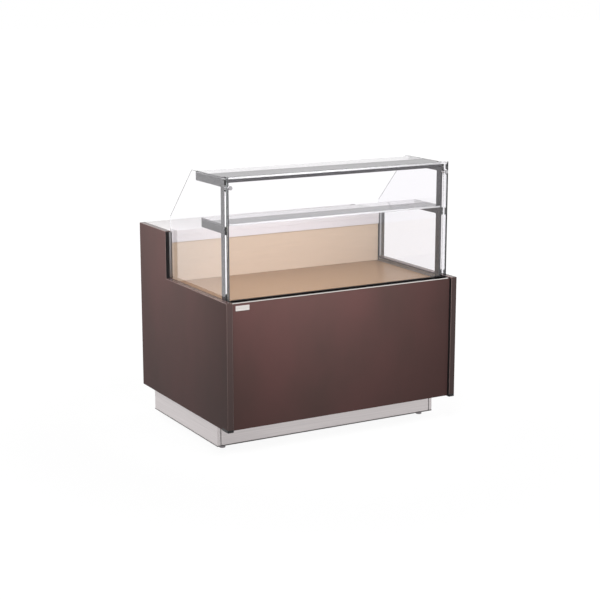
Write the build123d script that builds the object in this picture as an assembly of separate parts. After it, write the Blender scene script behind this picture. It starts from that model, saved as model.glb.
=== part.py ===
from build123d import *
import math
import os

# Serve over counter with a tilting front glass, two glass shelves and rear storage.
# The frame: millimetres, origin on the floor at the middle of the footprint,
# X to the customer's right, Y from the customer's side to the staff's side, Z up.

# Overall size
WIDTH = 1250
DEPTH = 960
GLASS_TOP = 1293

# Fits shared by many pieces
FIT = 0.3
RUNNING = 0.05
BOLT_FIT = 0.1
OVERCUT = 1

# End panels: one low stretch beside the display, one tall stretch beside the worktop
PANEL_T = 30
PANEL_BOTTOM = 134
LOW_TOP = 734
TALL_TOP = 966
TALL_DEPTH = 309
PANEL_EDGE_R = 2
CAP_LENGTH = 60
CAP_H = 11
CAP_PROUD = 1

# Carcass boards
BOARD_T = 18
CLEAT = 20
DECK_DROP = 19
BAG_SHELF_RISE = 48
STORAGE_SHELF_RISE = 278
STORAGE_SHELF_INSET = 20
SHELF_PIN_R = 2.5
SHELF_PIN_DEPTH = 8
SHELF_PIN_REACH = 12
SHELF_PIN_SETBACK = 90
CLEAT_SETBACK = 12
DECK_CLEAT_START = 140

# Front panel, its bright top trim and the blank badge plate
FRONT_SETBACK = 17
FRONT_PANEL_T = 24
FRONT_PANEL_LIFT = 2
FRONT_PANEL_DROP = 6
FRONT_PANEL_GAP = 1
TRIM_T = 3
TRIM_LIP_T = 1.5
TRIM_LIP_H = 1
BADGE_W = 70
BADGE_H = 24
BADGE_T = 1.5
BADGE_INSET = 22.8
BADGE_DROP = 11.5
BADGE_CORNER_R = 2

# Black channel behind the trim, in which the front glass tilts
CHANNEL_W = 36.7
CHANNEL_H = 46
CHANNEL_WALL = 2
CHANNEL_DROP = 5

# Front glass, the shoe that grips its lower edge, and the tilt hinge
FRONT_GLASS_T = 8
FRONT_GLASS_OFFSET = 6
FRONT_GLASS_END_GAP = 1
FRONT_GLASS_LIFT = 2
SHOE_OVER_AXIS = 3.5
SHOE_SLOT_DEPTH = 11.5
SHOE_WALL = 3.2
SHOE_FLOOR = 4
SHOE_CLEAR = 0.2
SHOE_END_GAP = 14
TILT_AXIS_FORWARD = 1.6
TILT_AXIS_RISE = 1
TILT_ANGLE = 35
TILT_STOP_GAP = 0.6
TILT_PIN_R = 2
TILT_PIN_REACH = 11
HINGE_BLOCK_OVER_AXIS = 4
HINGE_BLOCK_D = 17

# Knobs that hold the front glass to the posts
KNOB_DROP = 48
KNOB_R = 9.5
KNOB_T = 8
KNOB_EDGE_R = 1.5
KNOB_STEM_R = 3
KNOB_STEM_REACH = 15
BUSH_R = 4.1
BUSH_FLANGE_R = 8
BUSH_FLANGE_T = 1
STANDOFF_R = 8
STANDOFF_BORE_R = 4

# Side glass
SIDE_GLASS_T = 6
SIDE_GLASS_SEAL = 0.7
SIDE_GLASS_KINK_RISE = 69
SIDE_GLASS_TOP_REAR = 410
SIDE_GLASS_INSERT = 8.5
GLASS_EDGE = 0.6

# Sill and rear profile that hold the side glass
SILL_T = 1.5
SILL_W = 22
SILL_WALL_H = 14
PROFILE_W = 8
PROFILE_D = 18
PROFILE_DROP = 9

# Posts
POST_W = 16.6
POST_D = 37
POST_DROP = 15
POST_EDGE_R = 0.8
SLOT_W = 7
SLOT_DEPTH = 4
SLOT_INSET = 1.5
SLOT_RISE = 18
SLOT_PROUD = 0.5
BASE_BLOCK_H = 25
BASE_PLATE_W = 40
BASE_PLATE_D = 50
BASE_PLATE_T = 4
SCREW_R = 2
SCREW_HEAD_R = 4
SCREW_HEAD_H = 1.6
SCREW_LENGTH = 16
SCREW_EDGE = 8

# Shelf brackets
ARM_T = 8
ARM_H = 34.5
LOWER_ARM_RISE = 353
LOWER_ARM_REAR = 316
UPPER_ARM_REAR = 370
ARM_FLANGE_T = 3
ARM_LIP_T = 4
ARM_EDGE_R = 0.5
BOLT_R = 2
BOLT_HEAD_R = 3.2
BOLT_HEAD_H = 1.2
UPPER_BLOCK_H = 22

# Glass shelves on their pads
SHELF_GLASS_T = 8
SHELF_GLASS_INSET = 2
PAD_R = 2.8
PAD_T = 1
PAD_FRONT = 30
PAD_REAR = 25

# Light rail under the upper shelf
RAIL_SIZE = 15
RAIL_WALL = 1.5
RAIL_SETBACK = 2
STRIP_T = 1.5
STRIP_MARGIN = 1
DIFFUSER_T = 2

# Back wall of the display, apron and worktop
WALL_T = 12
APRON_H = 32
WORKTOP_T = 26
WORKTOP_EDGE_R = 1.5
SUPPORT_INSET = 60

# Rear doors
DOOR_T = 18
DOOR_RECESS = 12
DOOR_SIDE_GAP = 2.5
DOOR_MIDDLE_GAP = 1.5
DOOR_FLOOR_GAP = 3
DOOR_TOP_GAP = 3
DOOR_EDGE_R = 1
KNUCKLE_R = 4
KNUCKLE_OUT = 4.5
KNUCKLE_SIDE = 5
HINGE_PIN_R = 1.5
HINGE_H = 60
HINGE_MIDDLE_H = 22
HINGE_LEAF_T = 1.5
HINGE_LEAF_W = 40
HINGE_WEB = 2
HINGE_INSET = 110
PULL_W = 160
PULL_H = 30
PULL_T = 2
PULL_LIP = 9

# Plinth and levelling feet
PLINTH_SIDE = 24
PLINTH_FRONT = 158.5
PLINTH_REAR_SETBACK = 90
PLINTH_BOTTOM = 23.5
FOOT_INSET_X = 47
FOOT_INSET_Y = 45
FOOT_BLOCK = 50
FOOT_BLOCK_H = 30
FOOT_PAD_R = 15
FOOT_PAD_H = 12
FOOT_NECK_R = 8.5
FOOT_NECK_H = 6
FOOT_STEM_R = 5
FOOT_STEM_TOP_GAP = 6

# Switch and power inlet under the worktop
BOX_INSET = 60
BOX_W = 70
BOX_D = 68
BOX_H = 40
ROCKER_W = 12
ROCKER_H = 20
ROCKER_D = 7
ROCKER_TILT = 8
ROCKER_PIN_R = 1
ROCKER_PIN_REACH = 1.5
ROCKER_GAP = 0.6
ROCKER_POCKET_D = 14
INLET_W = 30
INLET_D = 24
INLET_H = 12
INLET_WALL = 3
INLET_PIN_W = 2
INLET_PIN_D = 4
INLET_PIN_H = 7
INLET_PIN_PITCH = 7

# Places worked out from the sizes above
HALF = WIDTH / 2
FRONT = -DEPTH / 2
REAR = DEPTH / 2
INNER = HALF - PANEL_T
PANEL_FACE = FRONT + FRONT_SETBACK
PANEL_BACK = PANEL_FACE + FRONT_PANEL_T
FRONT_PANEL_BOTTOM = PANEL_BOTTOM + FRONT_PANEL_LIFT
FRONT_PANEL_TOP = LOW_TOP - FRONT_PANEL_DROP
BADGE_TOP = FRONT_PANEL_TOP - BADGE_DROP
CHANNEL_REAR = PANEL_BACK + CHANNEL_W
CHANNEL_TOP = LOW_TOP - CHANNEL_DROP
CHANNEL_BOTTOM = CHANNEL_TOP - CHANNEL_H
DECK_TOP = LOW_TOP - DECK_DROP
TALL_FRONT = REAR - TALL_DEPTH
DOOR_FACE = REAR - DOOR_RECESS
DOOR_BACK = DOOR_FACE - DOOR_T
FLOOR_TOP = PANEL_BOTTOM + BOARD_T
STORAGE_SHELF_Z = FLOOR_TOP + STORAGE_SHELF_RISE
GLASS_FRONT = PANEL_BACK + FRONT_GLASS_OFFSET
GLASS_REAR = GLASS_FRONT + FRONT_GLASS_T
TILT_AXIS_Y = GLASS_FRONT - TILT_AXIS_FORWARD
TILT_AXIS_Z = CHANNEL_TOP + TILT_AXIS_RISE
HINGE_BLOCK_TOP = TILT_AXIS_Z + HINGE_BLOCK_OVER_AXIS
FRONT_GLASS_BOTTOM = HINGE_BLOCK_TOP + FRONT_GLASS_LIFT
SHOE_TOP = TILT_AXIS_Z + SHOE_OVER_AXIS
SHOE_FRONT = GLASS_FRONT - SHOE_CLEAR - SHOE_WALL
SHOE_REAR = GLASS_REAR + SHOE_CLEAR + SHOE_WALL
SHOE_SLOT_FLOOR = SHOE_TOP - SHOE_SLOT_DEPTH
SHOE_END = INNER - SHOE_END_GAP
SIDE_GLASS_OUT = INNER - SIDE_GLASS_SEAL
SIDE_GLASS_IN = SIDE_GLASS_OUT - SIDE_GLASS_T
POST_OUT = SIDE_GLASS_IN - SIDE_GLASS_SEAL
POST_IN = POST_OUT - POST_W
POST_FRONT = CHANNEL_REAR + FIT
POST_REAR = POST_FRONT + POST_D
POST_BOTTOM = DECK_TOP + BASE_PLATE_T
POST_TOP = GLASS_TOP - POST_DROP
SLOT_START = POST_BOTTOM + SLOT_RISE
KNOB_Z = GLASS_TOP - KNOB_DROP
LOWER_ARM_TOP = DECK_TOP + LOWER_ARM_RISE
SIDE_GLASS_TOP = POST_TOP + PAD_T + SHELF_GLASS_T
SIDE_GLASS_KINK_Z = TALL_TOP + SIDE_GLASS_KINK_RISE
PROFILE_TOP = TALL_TOP - PROFILE_DROP
KNOB_X = (POST_OUT + POST_IN) / 2
SLOT_X = (POST_OUT - SLOT_INSET - SLOT_W, POST_OUT - SLOT_INSET)
BOLT_X = (SLOT_X[0] + SLOT_X[1]) / 2
WORKTOP_BOTTOM = TALL_TOP - WORKTOP_T
WALL_TOP = WORKTOP_BOTTOM - APRON_H
BAG_SHELF_TOP = DECK_TOP + BAG_SHELF_RISE
WALL_REAR = TALL_FRONT + PROFILE_D
BAG_SHELF_BOTTOM = BAG_SHELF_TOP - BOARD_T
DECK_BOTTOM = DECK_TOP - BOARD_T
PROFILE_IN = INNER - FIT - PROFILE_W
HINGE_X = INNER - KNUCKLE_SIDE
HINGE_Y = DOOR_FACE + KNUCKLE_OUT
DOOR_BOTTOM = FLOOR_TOP + DOOR_FLOOR_GAP
DOOR_TOP = BAG_SHELF_BOTTOM - DOOR_TOP_GAP
PLINTH_OUT = HALF - PLINTH_SIDE
PLINTH_Y = (FRONT + PLINTH_FRONT, REAR - PLINTH_REAR_SETBACK)
SWITCH_X = -INNER + BOX_INSET + BOX_W / 2
SWITCH_Z = WORKTOP_BOTTOM - BOX_H / 2

parts = {}


def block(x, y, z):
    """A box from its low and high limits along X, Y and Z."""
    centre = [(low + high) / 2 for low, high in (x, y, z)]
    return Pos(*centre) * Box(x[1] - x[0], y[1] - y[0], z[1] - z[0])


def prism_x(outline, x):
    """An outline of (Y, Z) points carried along X."""
    face = Plane.YZ.offset(x[0]) * Polygon(*outline, align=None)
    return extrude(face, amount=x[1] - x[0], dir=(1, 0, 0))


def prism_y(outline, y):
    """An outline of (X, Z) points carried along Y."""
    face = Plane.XZ.offset(-y[0]) * Polygon(*outline, align=None)
    return extrude(face, amount=y[1] - y[0], dir=(0, 1, 0))


def prism_z(outline, z):
    """An outline of (X, Y) points carried along Z."""
    face = Plane.XY.offset(z[0]) * Polygon(*outline, align=None)
    return extrude(face, amount=z[1] - z[0], dir=(0, 0, 1))


def rod_x(radius, x, y, z):
    """A round bar along X from x[0] to x[1]."""
    return Pos((x[0] + x[1]) / 2, y, z) * Rot(0, 90, 0) * Cylinder(radius, x[1] - x[0])


def rod_y(radius, x, y, z):
    """A round bar along Y from y[0] to y[1]."""
    return Pos(x, (y[0] + y[1]) / 2, z) * Rot(90, 0, 0) * Cylinder(radius, y[1] - y[0])


def rod_z(radius, x, y, z):
    """A round bar along Z from z[0] to z[1]."""
    return Pos(x, y, (z[0] + z[1]) / 2) * Cylinder(radius, z[1] - z[0])


def mirrored(shape):
    """The same shape on the other side of the middle plane."""
    return mirror(shape, about=Plane.YZ)


def add(name, *shapes):
    """Keep the solids of one named sub-part."""
    parts[name] = [solid for shape in shapes for solid in shape.solids()]


def add_pair(name, shape):
    """Keep a right-hand solid and its left-hand twin as one group."""
    add(name, shape, mirrored(shape))


def soften(shape, axis, radius):
    """Round every edge except those that run along the axis."""
    return fillet(shape.edges().filter_by(axis, reverse=True), radius)


def pin_places():
    """Y of the shelf pins, front and rear."""
    return (PANEL_BACK + SHELF_PIN_SETBACK, DOOR_BACK - SHELF_PIN_SETBACK)


def end_panel():
    """The right end panel: a board with a low front and a tall rear stretch."""
    outline = [
        (FRONT, PANEL_BOTTOM), (REAR, PANEL_BOTTOM), (REAR, TALL_TOP),
        (TALL_FRONT, TALL_TOP), (TALL_FRONT, LOW_TOP), (FRONT, LOW_TOP),
    ]
    panel = soften(prism_x(outline, (INNER, HALF)), Axis.X, PANEL_EDGE_R)
    cap_room = (PANEL_BOTTOM - CAP_H, PANEL_BOTTOM + CAP_H)
    panel -= block((INNER - OVERCUT, HALF + OVERCUT), (FRONT - OVERCUT, FRONT + CAP_LENGTH), cap_room)
    for y in pin_places():
        z = STORAGE_SHELF_Z - SHELF_PIN_R
        panel -= rod_x(SHELF_PIN_R + RUNNING, (INNER - OVERCUT, INNER + SHELF_PIN_DEPTH), y, z)
    return panel


def corner_cap():
    """Black plastic cap under the front corner of the right end panel."""
    z = (PANEL_BOTTOM - CAP_PROUD, PANEL_BOTTOM + CAP_H)
    cap = block((INNER, HALF), (FRONT, FRONT + CAP_LENGTH), z)
    front_corners = cap.edges().filter_by(Axis.Z).group_by(Axis.Y)[0]
    return fillet(front_corners, PANEL_EDGE_R)


def make_end_panels():
    """Both end panels and their corner caps."""
    add("right_end_panel", end_panel())
    add("left_end_panel", mirrored(end_panel()))
    add_pair("panel_corner_caps", corner_cap())


def make_front():
    """Front panel, its bright trim and the blank badge plate."""
    reach = INNER - FRONT_PANEL_GAP
    add("front_panel", block((-reach, reach), (PANEL_FACE, PANEL_BACK),
                             (FRONT_PANEL_BOTTOM, FRONT_PANEL_TOP)))
    top = FRONT_PANEL_TOP + TRIM_T
    lip = PANEL_FACE - TRIM_LIP_T
    outline = [
        (lip, top), (PANEL_BACK, top), (PANEL_BACK, FRONT_PANEL_TOP),
        (PANEL_FACE, FRONT_PANEL_TOP), (PANEL_FACE, FRONT_PANEL_TOP - TRIM_LIP_H),
        (lip, FRONT_PANEL_TOP - TRIM_LIP_H),
    ]
    add("front_panel_trim", prism_x(outline, (-reach, reach)))
    left = -INNER + BADGE_INSET
    badge = block((left, left + BADGE_W), (PANEL_FACE - BADGE_T, PANEL_FACE),
                  (BADGE_TOP - BADGE_H, BADGE_TOP))
    add("badge_plate", fillet(badge.edges().filter_by(Axis.Y), BADGE_CORNER_R))


def make_glass_channel():
    """The black trough and the two blocks that carry the tilt hinge."""
    inside_front = PANEL_BACK + CHANNEL_WALL
    inside_rear = CHANNEL_REAR - CHANNEL_WALL
    inside_floor = CHANNEL_BOTTOM + CHANNEL_WALL
    outline = [
        (PANEL_BACK, CHANNEL_TOP), (PANEL_BACK, CHANNEL_BOTTOM), (CHANNEL_REAR, CHANNEL_BOTTOM),
        (CHANNEL_REAR, CHANNEL_TOP), (inside_rear, CHANNEL_TOP), (inside_rear, inside_floor),
        (inside_front, inside_floor), (inside_front, CHANNEL_TOP),
    ]
    reach = INNER - FIT
    add("glass_channel", prism_x(outline, (-reach, reach)))
    hinge_block = block((SHOE_END + FIT, reach), (inside_front, inside_front + HINGE_BLOCK_D),
                        (inside_floor, HINGE_BLOCK_TOP))
    hinge_block -= rod_x(TILT_PIN_R + RUNNING, (SHOE_END, INNER), TILT_AXIS_Y, TILT_AXIS_Z)
    add_pair("glass_hinge_blocks", hinge_block)


def stop_tail():
    """Length of the shoe's tail below the axis that meets the channel at full tilt."""
    room = CHANNEL_REAR - CHANNEL_WALL - TILT_STOP_GAP - TILT_AXIS_Y
    tilt = math.radians(TILT_ANGLE)
    return (room - (SHOE_REAR - TILT_AXIS_Y) * math.cos(tilt)) / math.sin(tilt)


def make_front_glass():
    """The tilting pane, the shoe under it and the bushes for its knobs."""
    wide = INNER - FRONT_GLASS_END_GAP
    narrow = SHOE_END - FIT
    outline = [
        (-wide, GLASS_TOP), (-wide, FRONT_GLASS_BOTTOM), (-narrow, FRONT_GLASS_BOTTOM),
        (-narrow, SHOE_SLOT_FLOOR), (narrow, SHOE_SLOT_FLOOR), (narrow, FRONT_GLASS_BOTTOM),
        (wide, FRONT_GLASS_BOTTOM), (wide, GLASS_TOP),
    ]
    pane = prism_y(outline, (GLASS_FRONT, GLASS_REAR))
    outer = [edge for edge in pane.edges().filter_by(Axis.Y, reverse=True)
             if edge.center().Z > FRONT_GLASS_BOTTOM + GLASS_EDGE]
    pane = chamfer(outer, GLASS_EDGE)
    for x in (-KNOB_X, KNOB_X):
        pane -= rod_y(BUSH_R + RUNNING, x, (GLASS_FRONT - OVERCUT, GLASS_REAR + OVERCUT), KNOB_Z)
    add("front_glass", pane)
    tail_end = TILT_AXIS_Z - stop_tail()
    slot_front = GLASS_FRONT - SHOE_CLEAR
    slot_rear = GLASS_REAR + SHOE_CLEAR
    floor = SHOE_SLOT_FLOOR - SHOE_FLOOR
    shoe_outline = [
        (SHOE_FRONT, SHOE_TOP), (SHOE_FRONT, floor), (slot_rear, floor), (slot_rear, tail_end),
        (SHOE_REAR, tail_end), (SHOE_REAR, SHOE_TOP), (slot_rear, SHOE_TOP),
        (slot_rear, SHOE_SLOT_FLOOR), (slot_front, SHOE_SLOT_FLOOR), (slot_front, SHOE_TOP),
    ]
    shoe = prism_x(shoe_outline, (-SHOE_END, SHOE_END))
    pin = rod_x(TILT_PIN_R, (SHOE_END, SHOE_END + TILT_PIN_REACH), TILT_AXIS_Y, TILT_AXIS_Z)
    add("glass_shoe", shoe + pin + mirrored(pin))


def make_knobs():
    """Knobs, the bushes they turn in, and the stand-offs on the posts."""
    flange_front = GLASS_FRONT - BUSH_FLANGE_T
    flange_rear = GLASS_REAR + BUSH_FLANGE_T
    bush = rod_y(BUSH_R, KNOB_X, (flange_front, flange_rear), KNOB_Z)
    bush += rod_y(BUSH_FLANGE_R, KNOB_X, (flange_front, GLASS_FRONT), KNOB_Z)
    bush += rod_y(BUSH_FLANGE_R, KNOB_X, (GLASS_REAR, flange_rear), KNOB_Z)
    bore_y = (flange_front - OVERCUT, flange_rear + OVERCUT)
    bush -= rod_y(KNOB_STEM_R + RUNNING, KNOB_X, bore_y, KNOB_Z)
    add_pair("knob_bushes", bush)
    head_back = flange_front - FIT
    head = rod_y(KNOB_R, KNOB_X, (head_back - KNOB_T, head_back), KNOB_Z)
    head = fillet(head.edges(), KNOB_EDGE_R)
    stem_y = (head_back - KNOB_T / 2, GLASS_REAR + KNOB_STEM_REACH)
    knob = head + rod_y(KNOB_STEM_R, KNOB_X, stem_y, KNOB_Z)
    add("right_glass_knob", knob)
    add("left_glass_knob", mirrored(knob))
    standoff = rod_y(STANDOFF_R, KNOB_X, (flange_rear + FIT, POST_FRONT), KNOB_Z)
    standoff -= rod_y(STANDOFF_BORE_R, KNOB_X, (flange_rear, POST_FRONT + OVERCUT), KNOB_Z)
    add_pair("glass_standoffs", standoff)


def side_glass():
    """The right side pane, with its top rear corner cut on a slant."""
    front = GLASS_REAR + BUSH_FLANGE_T + FIT
    over_channel = max(LOW_TOP, HINGE_BLOCK_TOP) + SHOE_WALL
    bottom = DECK_TOP + SILL_T
    rear = TALL_FRONT + SIDE_GLASS_INSERT
    outline = [
        (front, over_channel), (POST_FRONT, over_channel), (POST_FRONT, bottom), (rear, bottom),
        (rear, SIDE_GLASS_KINK_Z), (FRONT + SIDE_GLASS_TOP_REAR, SIDE_GLASS_TOP),
        (front, SIDE_GLASS_TOP),
    ]
    pane = prism_x(outline, (SIDE_GLASS_IN, SIDE_GLASS_OUT))
    shown = [edge for edge in pane.edges().filter_by(Axis.X, reverse=True)
             if edge.center().Z > TALL_TOP]
    return chamfer(shown, GLASS_EDGE)


def make_side_glazing():
    """Both side panes with the sills under them and the profiles behind them."""
    add("right_side_glass", side_glass())
    add("left_side_glass", mirrored(side_glass()))
    outer = INNER - FIT
    wall_out = SIDE_GLASS_IN - RUNNING
    wall_in = wall_out - SILL_T
    sill_floor = DECK_TOP + SILL_T
    outline = [
        (outer, DECK_TOP), (outer, sill_floor), (wall_out, sill_floor),
        (wall_out, DECK_TOP + SILL_WALL_H), (wall_in, DECK_TOP + SILL_WALL_H),
        (wall_in, sill_floor), (outer - SILL_W, sill_floor), (outer - SILL_W, DECK_TOP),
    ]
    sill_front = POST_FRONT + BASE_PLATE_D + FIT
    add_pair("side_glass_sills", prism_y(outline, (sill_front, TALL_FRONT - FIT)))
    profile = block((PROFILE_IN, outer), (TALL_FRONT, WALL_REAR), (DECK_TOP, PROFILE_TOP))
    rebate_rear = TALL_FRONT + SIDE_GLASS_INSERT + FIT
    profile -= block((SIDE_GLASS_IN - RUNNING, INNER), (TALL_FRONT - OVERCUT, rebate_rear),
                     (DECK_TOP - OVERCUT, PROFILE_TOP + OVERCUT))
    add_pair("glazing_profiles", profile)


def bracket_levels():
    """Top and rear end of each bracket arm."""
    return ((LOWER_ARM_TOP, FRONT + LOWER_ARM_REAR), (POST_TOP, FRONT + UPPER_ARM_REAR))


def slot_block_heights():
    """Low and high end of each black block in the front slot of a post."""
    return (
        (SLOT_START, SLOT_START + BASE_BLOCK_H),
        (LOWER_ARM_TOP - ARM_H, LOWER_ARM_TOP),
        (POST_TOP - UPPER_BLOCK_H, POST_TOP),
    )


def bolt_heights():
    """Height of each bolt through a post: one in each bracket's block."""
    return [(low + high) / 2 for low, high in slot_block_heights()[1:]]


def bolt_bore(z, y):
    """Clearance hole for a bolt through a post."""
    return rod_y(BOLT_R + BOLT_FIT, BOLT_X, y, z)


def post():
    """The right post: a bar with a slot down its front."""
    bar = block((POST_IN, POST_OUT), (POST_FRONT, POST_REAR), (POST_BOTTOM, POST_TOP))
    bar = fillet(bar.edges().filter_by(Axis.Z), POST_EDGE_R)
    slot_z = (SLOT_START, POST_TOP + OVERCUT)
    bar -= block(SLOT_X, (POST_FRONT - OVERCUT, POST_FRONT + SLOT_DEPTH), slot_z)
    for z in bolt_heights():
        bar -= bolt_bore(z, (POST_FRONT, POST_REAR + OVERCUT))
    return bar


def make_posts():
    """Posts, with the blocks and cover strips in their slots and their base plates."""
    add("right_post", post())
    add("left_post", mirrored(post()))
    slot_y = (POST_FRONT - SLOT_PROUD, POST_FRONT + SLOT_DEPTH)
    heights = slot_block_heights()
    blocks = []
    for index, (low, high) in enumerate(heights):
        piece = block(SLOT_X, slot_y, (low, high))
        if index:
            piece -= bolt_bore(bolt_heights()[index - 1], (slot_y[0] - OVERCUT, slot_y[1] + OVERCUT))
        blocks += [piece, mirrored(piece)]
    add("slot_blocks", *blocks)
    spans = ((heights[0][1], heights[1][0]), (heights[1][1], KNOB_Z - STANDOFF_R))
    strips = []
    for low, high in spans:
        strip = block(SLOT_X, (POST_FRONT + RUNNING, POST_FRONT + SLOT_DEPTH), (low + FIT, high - FIT))
        strips += [strip, mirrored(strip)]
    add("slot_cover_strips", *strips)


def plate_screw_places():
    """X and Y of the screws in the right post's base plate."""
    inner = POST_OUT - BASE_PLATE_W + SCREW_EDGE
    return [(inner, POST_FRONT + SCREW_EDGE), (inner, POST_FRONT + BASE_PLATE_D - SCREW_EDGE)]


def make_post_fixings():
    """Base plates, their screws, and the bolts through the posts."""
    plate = block((POST_OUT - BASE_PLATE_W, POST_OUT), (POST_FRONT, POST_FRONT + BASE_PLATE_D),
                  (DECK_TOP, POST_BOTTOM))
    screws = []
    for x, y in plate_screw_places():
        plate -= rod_z(SCREW_R + BOLT_FIT, x, y, (DECK_TOP - OVERCUT, POST_BOTTOM + OVERCUT))
        screw = rod_z(SCREW_HEAD_R, x, y, (POST_BOTTOM, POST_BOTTOM + SCREW_HEAD_H))
        screw = fillet(screw.edges().group_by(Axis.Z)[-1], SCREW_HEAD_H / 2)
        screw += rod_z(SCREW_R, x, y, (POST_BOTTOM - SCREW_LENGTH, POST_BOTTOM))
        screws += [screw, mirrored(screw)]
    add_pair("post_base_plates", plate)
    head_back = POST_FRONT - SLOT_PROUD
    for z in bolt_heights():
        bolt = rod_y(BOLT_HEAD_R, BOLT_X, (head_back - BOLT_HEAD_H, head_back), z)
        bolt += rod_y(BOLT_R, BOLT_X, (head_back, POST_REAR + ARM_FLANGE_T), z)
        screws += [bolt, mirrored(bolt)]
    add("post_fixings", *screws)


def bracket(top, rear):
    """A right shelf bracket: flange on the post, arm, and a lip that stops the shelf."""
    low = top - ARM_H
    arm_in = POST_OUT - ARM_T
    lip_top = top + PAD_T + SHELF_GLASS_T
    outline = [
        (POST_REAR, low), (rear, low), (rear, lip_top), (rear - ARM_LIP_T, lip_top),
        (rear - ARM_LIP_T, top), (POST_REAR, top),
    ]
    arm = soften(prism_x(outline, (arm_in, POST_OUT)), Axis.X, ARM_EDGE_R)
    flange = block((POST_IN, POST_OUT), (POST_REAR, POST_REAR + ARM_FLANGE_T), (low, top))
    shape = arm + flange
    for z in bolt_heights():
        shape -= bolt_bore(z, (POST_REAR - OVERCUT, POST_REAR + ARM_FLANGE_T + FIT))
    return shape


def shelf_glass(top, rear):
    """A glass shelf on its pads, with a tongue forward between the posts."""
    wide = POST_OUT - SHELF_GLASS_INSET
    narrow = POST_IN - FIT
    step = POST_REAR + ARM_FLANGE_T + FIT
    back = rear - ARM_LIP_T - FIT
    outline = [
        (-wide, back), (-wide, step), (-narrow, step), (-narrow, POST_FRONT),
        (narrow, POST_FRONT), (narrow, step), (wide, step), (wide, back),
    ]
    pane = prism_z(outline, (top + PAD_T, top + PAD_T + SHELF_GLASS_T))
    return chamfer(pane.edges().filter_by(Axis.Z, reverse=True), GLASS_EDGE)


def make_shelves():
    """Brackets, pads and the two glass shelves."""
    brackets = []
    pads = []
    pad_x = POST_OUT - ARM_T / 2 - (SHELF_GLASS_INSET / 2)
    for top, rear in bracket_levels():
        shape = bracket(top, rear)
        brackets += [shape, mirrored(shape)]
        for y in (POST_REAR + PAD_FRONT, rear - PAD_REAR):
            pad = rod_z(PAD_R, pad_x, y, (top, top + PAD_T))
            pads += [pad, mirrored(pad)]
    add("shelf_brackets", *brackets)
    add("shelf_pads", *pads)
    add("lower_shelf_glass", shelf_glass(*bracket_levels()[0]))
    add("upper_shelf_glass", shelf_glass(*bracket_levels()[1]))


def make_light_rail():
    """Rail between the posts under the upper shelf, with its light strip and diffuser."""
    front = POST_FRONT + RAIL_SETBACK
    rear = front + RAIL_SIZE
    top = POST_TOP + PAD_T - FIT
    low = top - RAIL_SIZE
    outline = [
        (front, low), (front, top), (rear, top), (rear, low), (rear - RAIL_WALL, low),
        (rear - RAIL_WALL, top - RAIL_WALL), (front + RAIL_WALL, top - RAIL_WALL),
        (front + RAIL_WALL, low),
    ]
    add("light_rail", prism_x(outline, (-POST_IN, POST_IN)))
    reach = POST_IN - FIT
    inside = (front + RAIL_WALL, rear - RAIL_WALL)
    strip_y = (inside[0] + STRIP_MARGIN, inside[1] - STRIP_MARGIN)
    strip_top = top - RAIL_WALL
    add("light_strip", block((-reach, reach), strip_y, (strip_top - STRIP_T, strip_top)))
    add("light_diffuser", block((-reach, reach), inside, (low, low + DIFFUSER_T)))


def make_deck():
    """Display deck, back wall, apron and worktop."""
    reach = INNER - FIT
    deck = block((-reach, reach), (POST_FRONT, WALL_REAR), (DECK_BOTTOM, DECK_TOP))
    for x, y in plate_screw_places():
        bore = rod_z(SCREW_R + RUNNING, x, y, (DECK_BOTTOM - OVERCUT, DECK_TOP + OVERCUT))
        deck -= bore
        deck -= mirrored(bore)
    add("display_deck", deck)
    wall_reach = PROFILE_IN - FIT
    add("display_back_wall", block((-wall_reach, wall_reach), (WALL_REAR - WALL_T, WALL_REAR),
                                   (DECK_TOP, WALL_TOP)))
    add("worktop_apron", block((-wall_reach, wall_reach), (TALL_FRONT, WALL_REAR),
                               (WALL_TOP, WORKTOP_BOTTOM)))
    step = WALL_REAR + FIT
    outline = [
        (-reach, REAR), (-reach, step), (-wall_reach, step), (-wall_reach, TALL_FRONT),
        (wall_reach, TALL_FRONT), (wall_reach, step), (reach, step), (reach, REAR),
    ]
    worktop = prism_z(outline, (WORKTOP_BOTTOM, TALL_TOP))
    rims = [edge for edge in worktop.edges().filter_by(Axis.X)
            if abs(edge.center().X) < PROFILE_W]
    add("worktop", fillet(rims, WORKTOP_EDGE_R))


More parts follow.
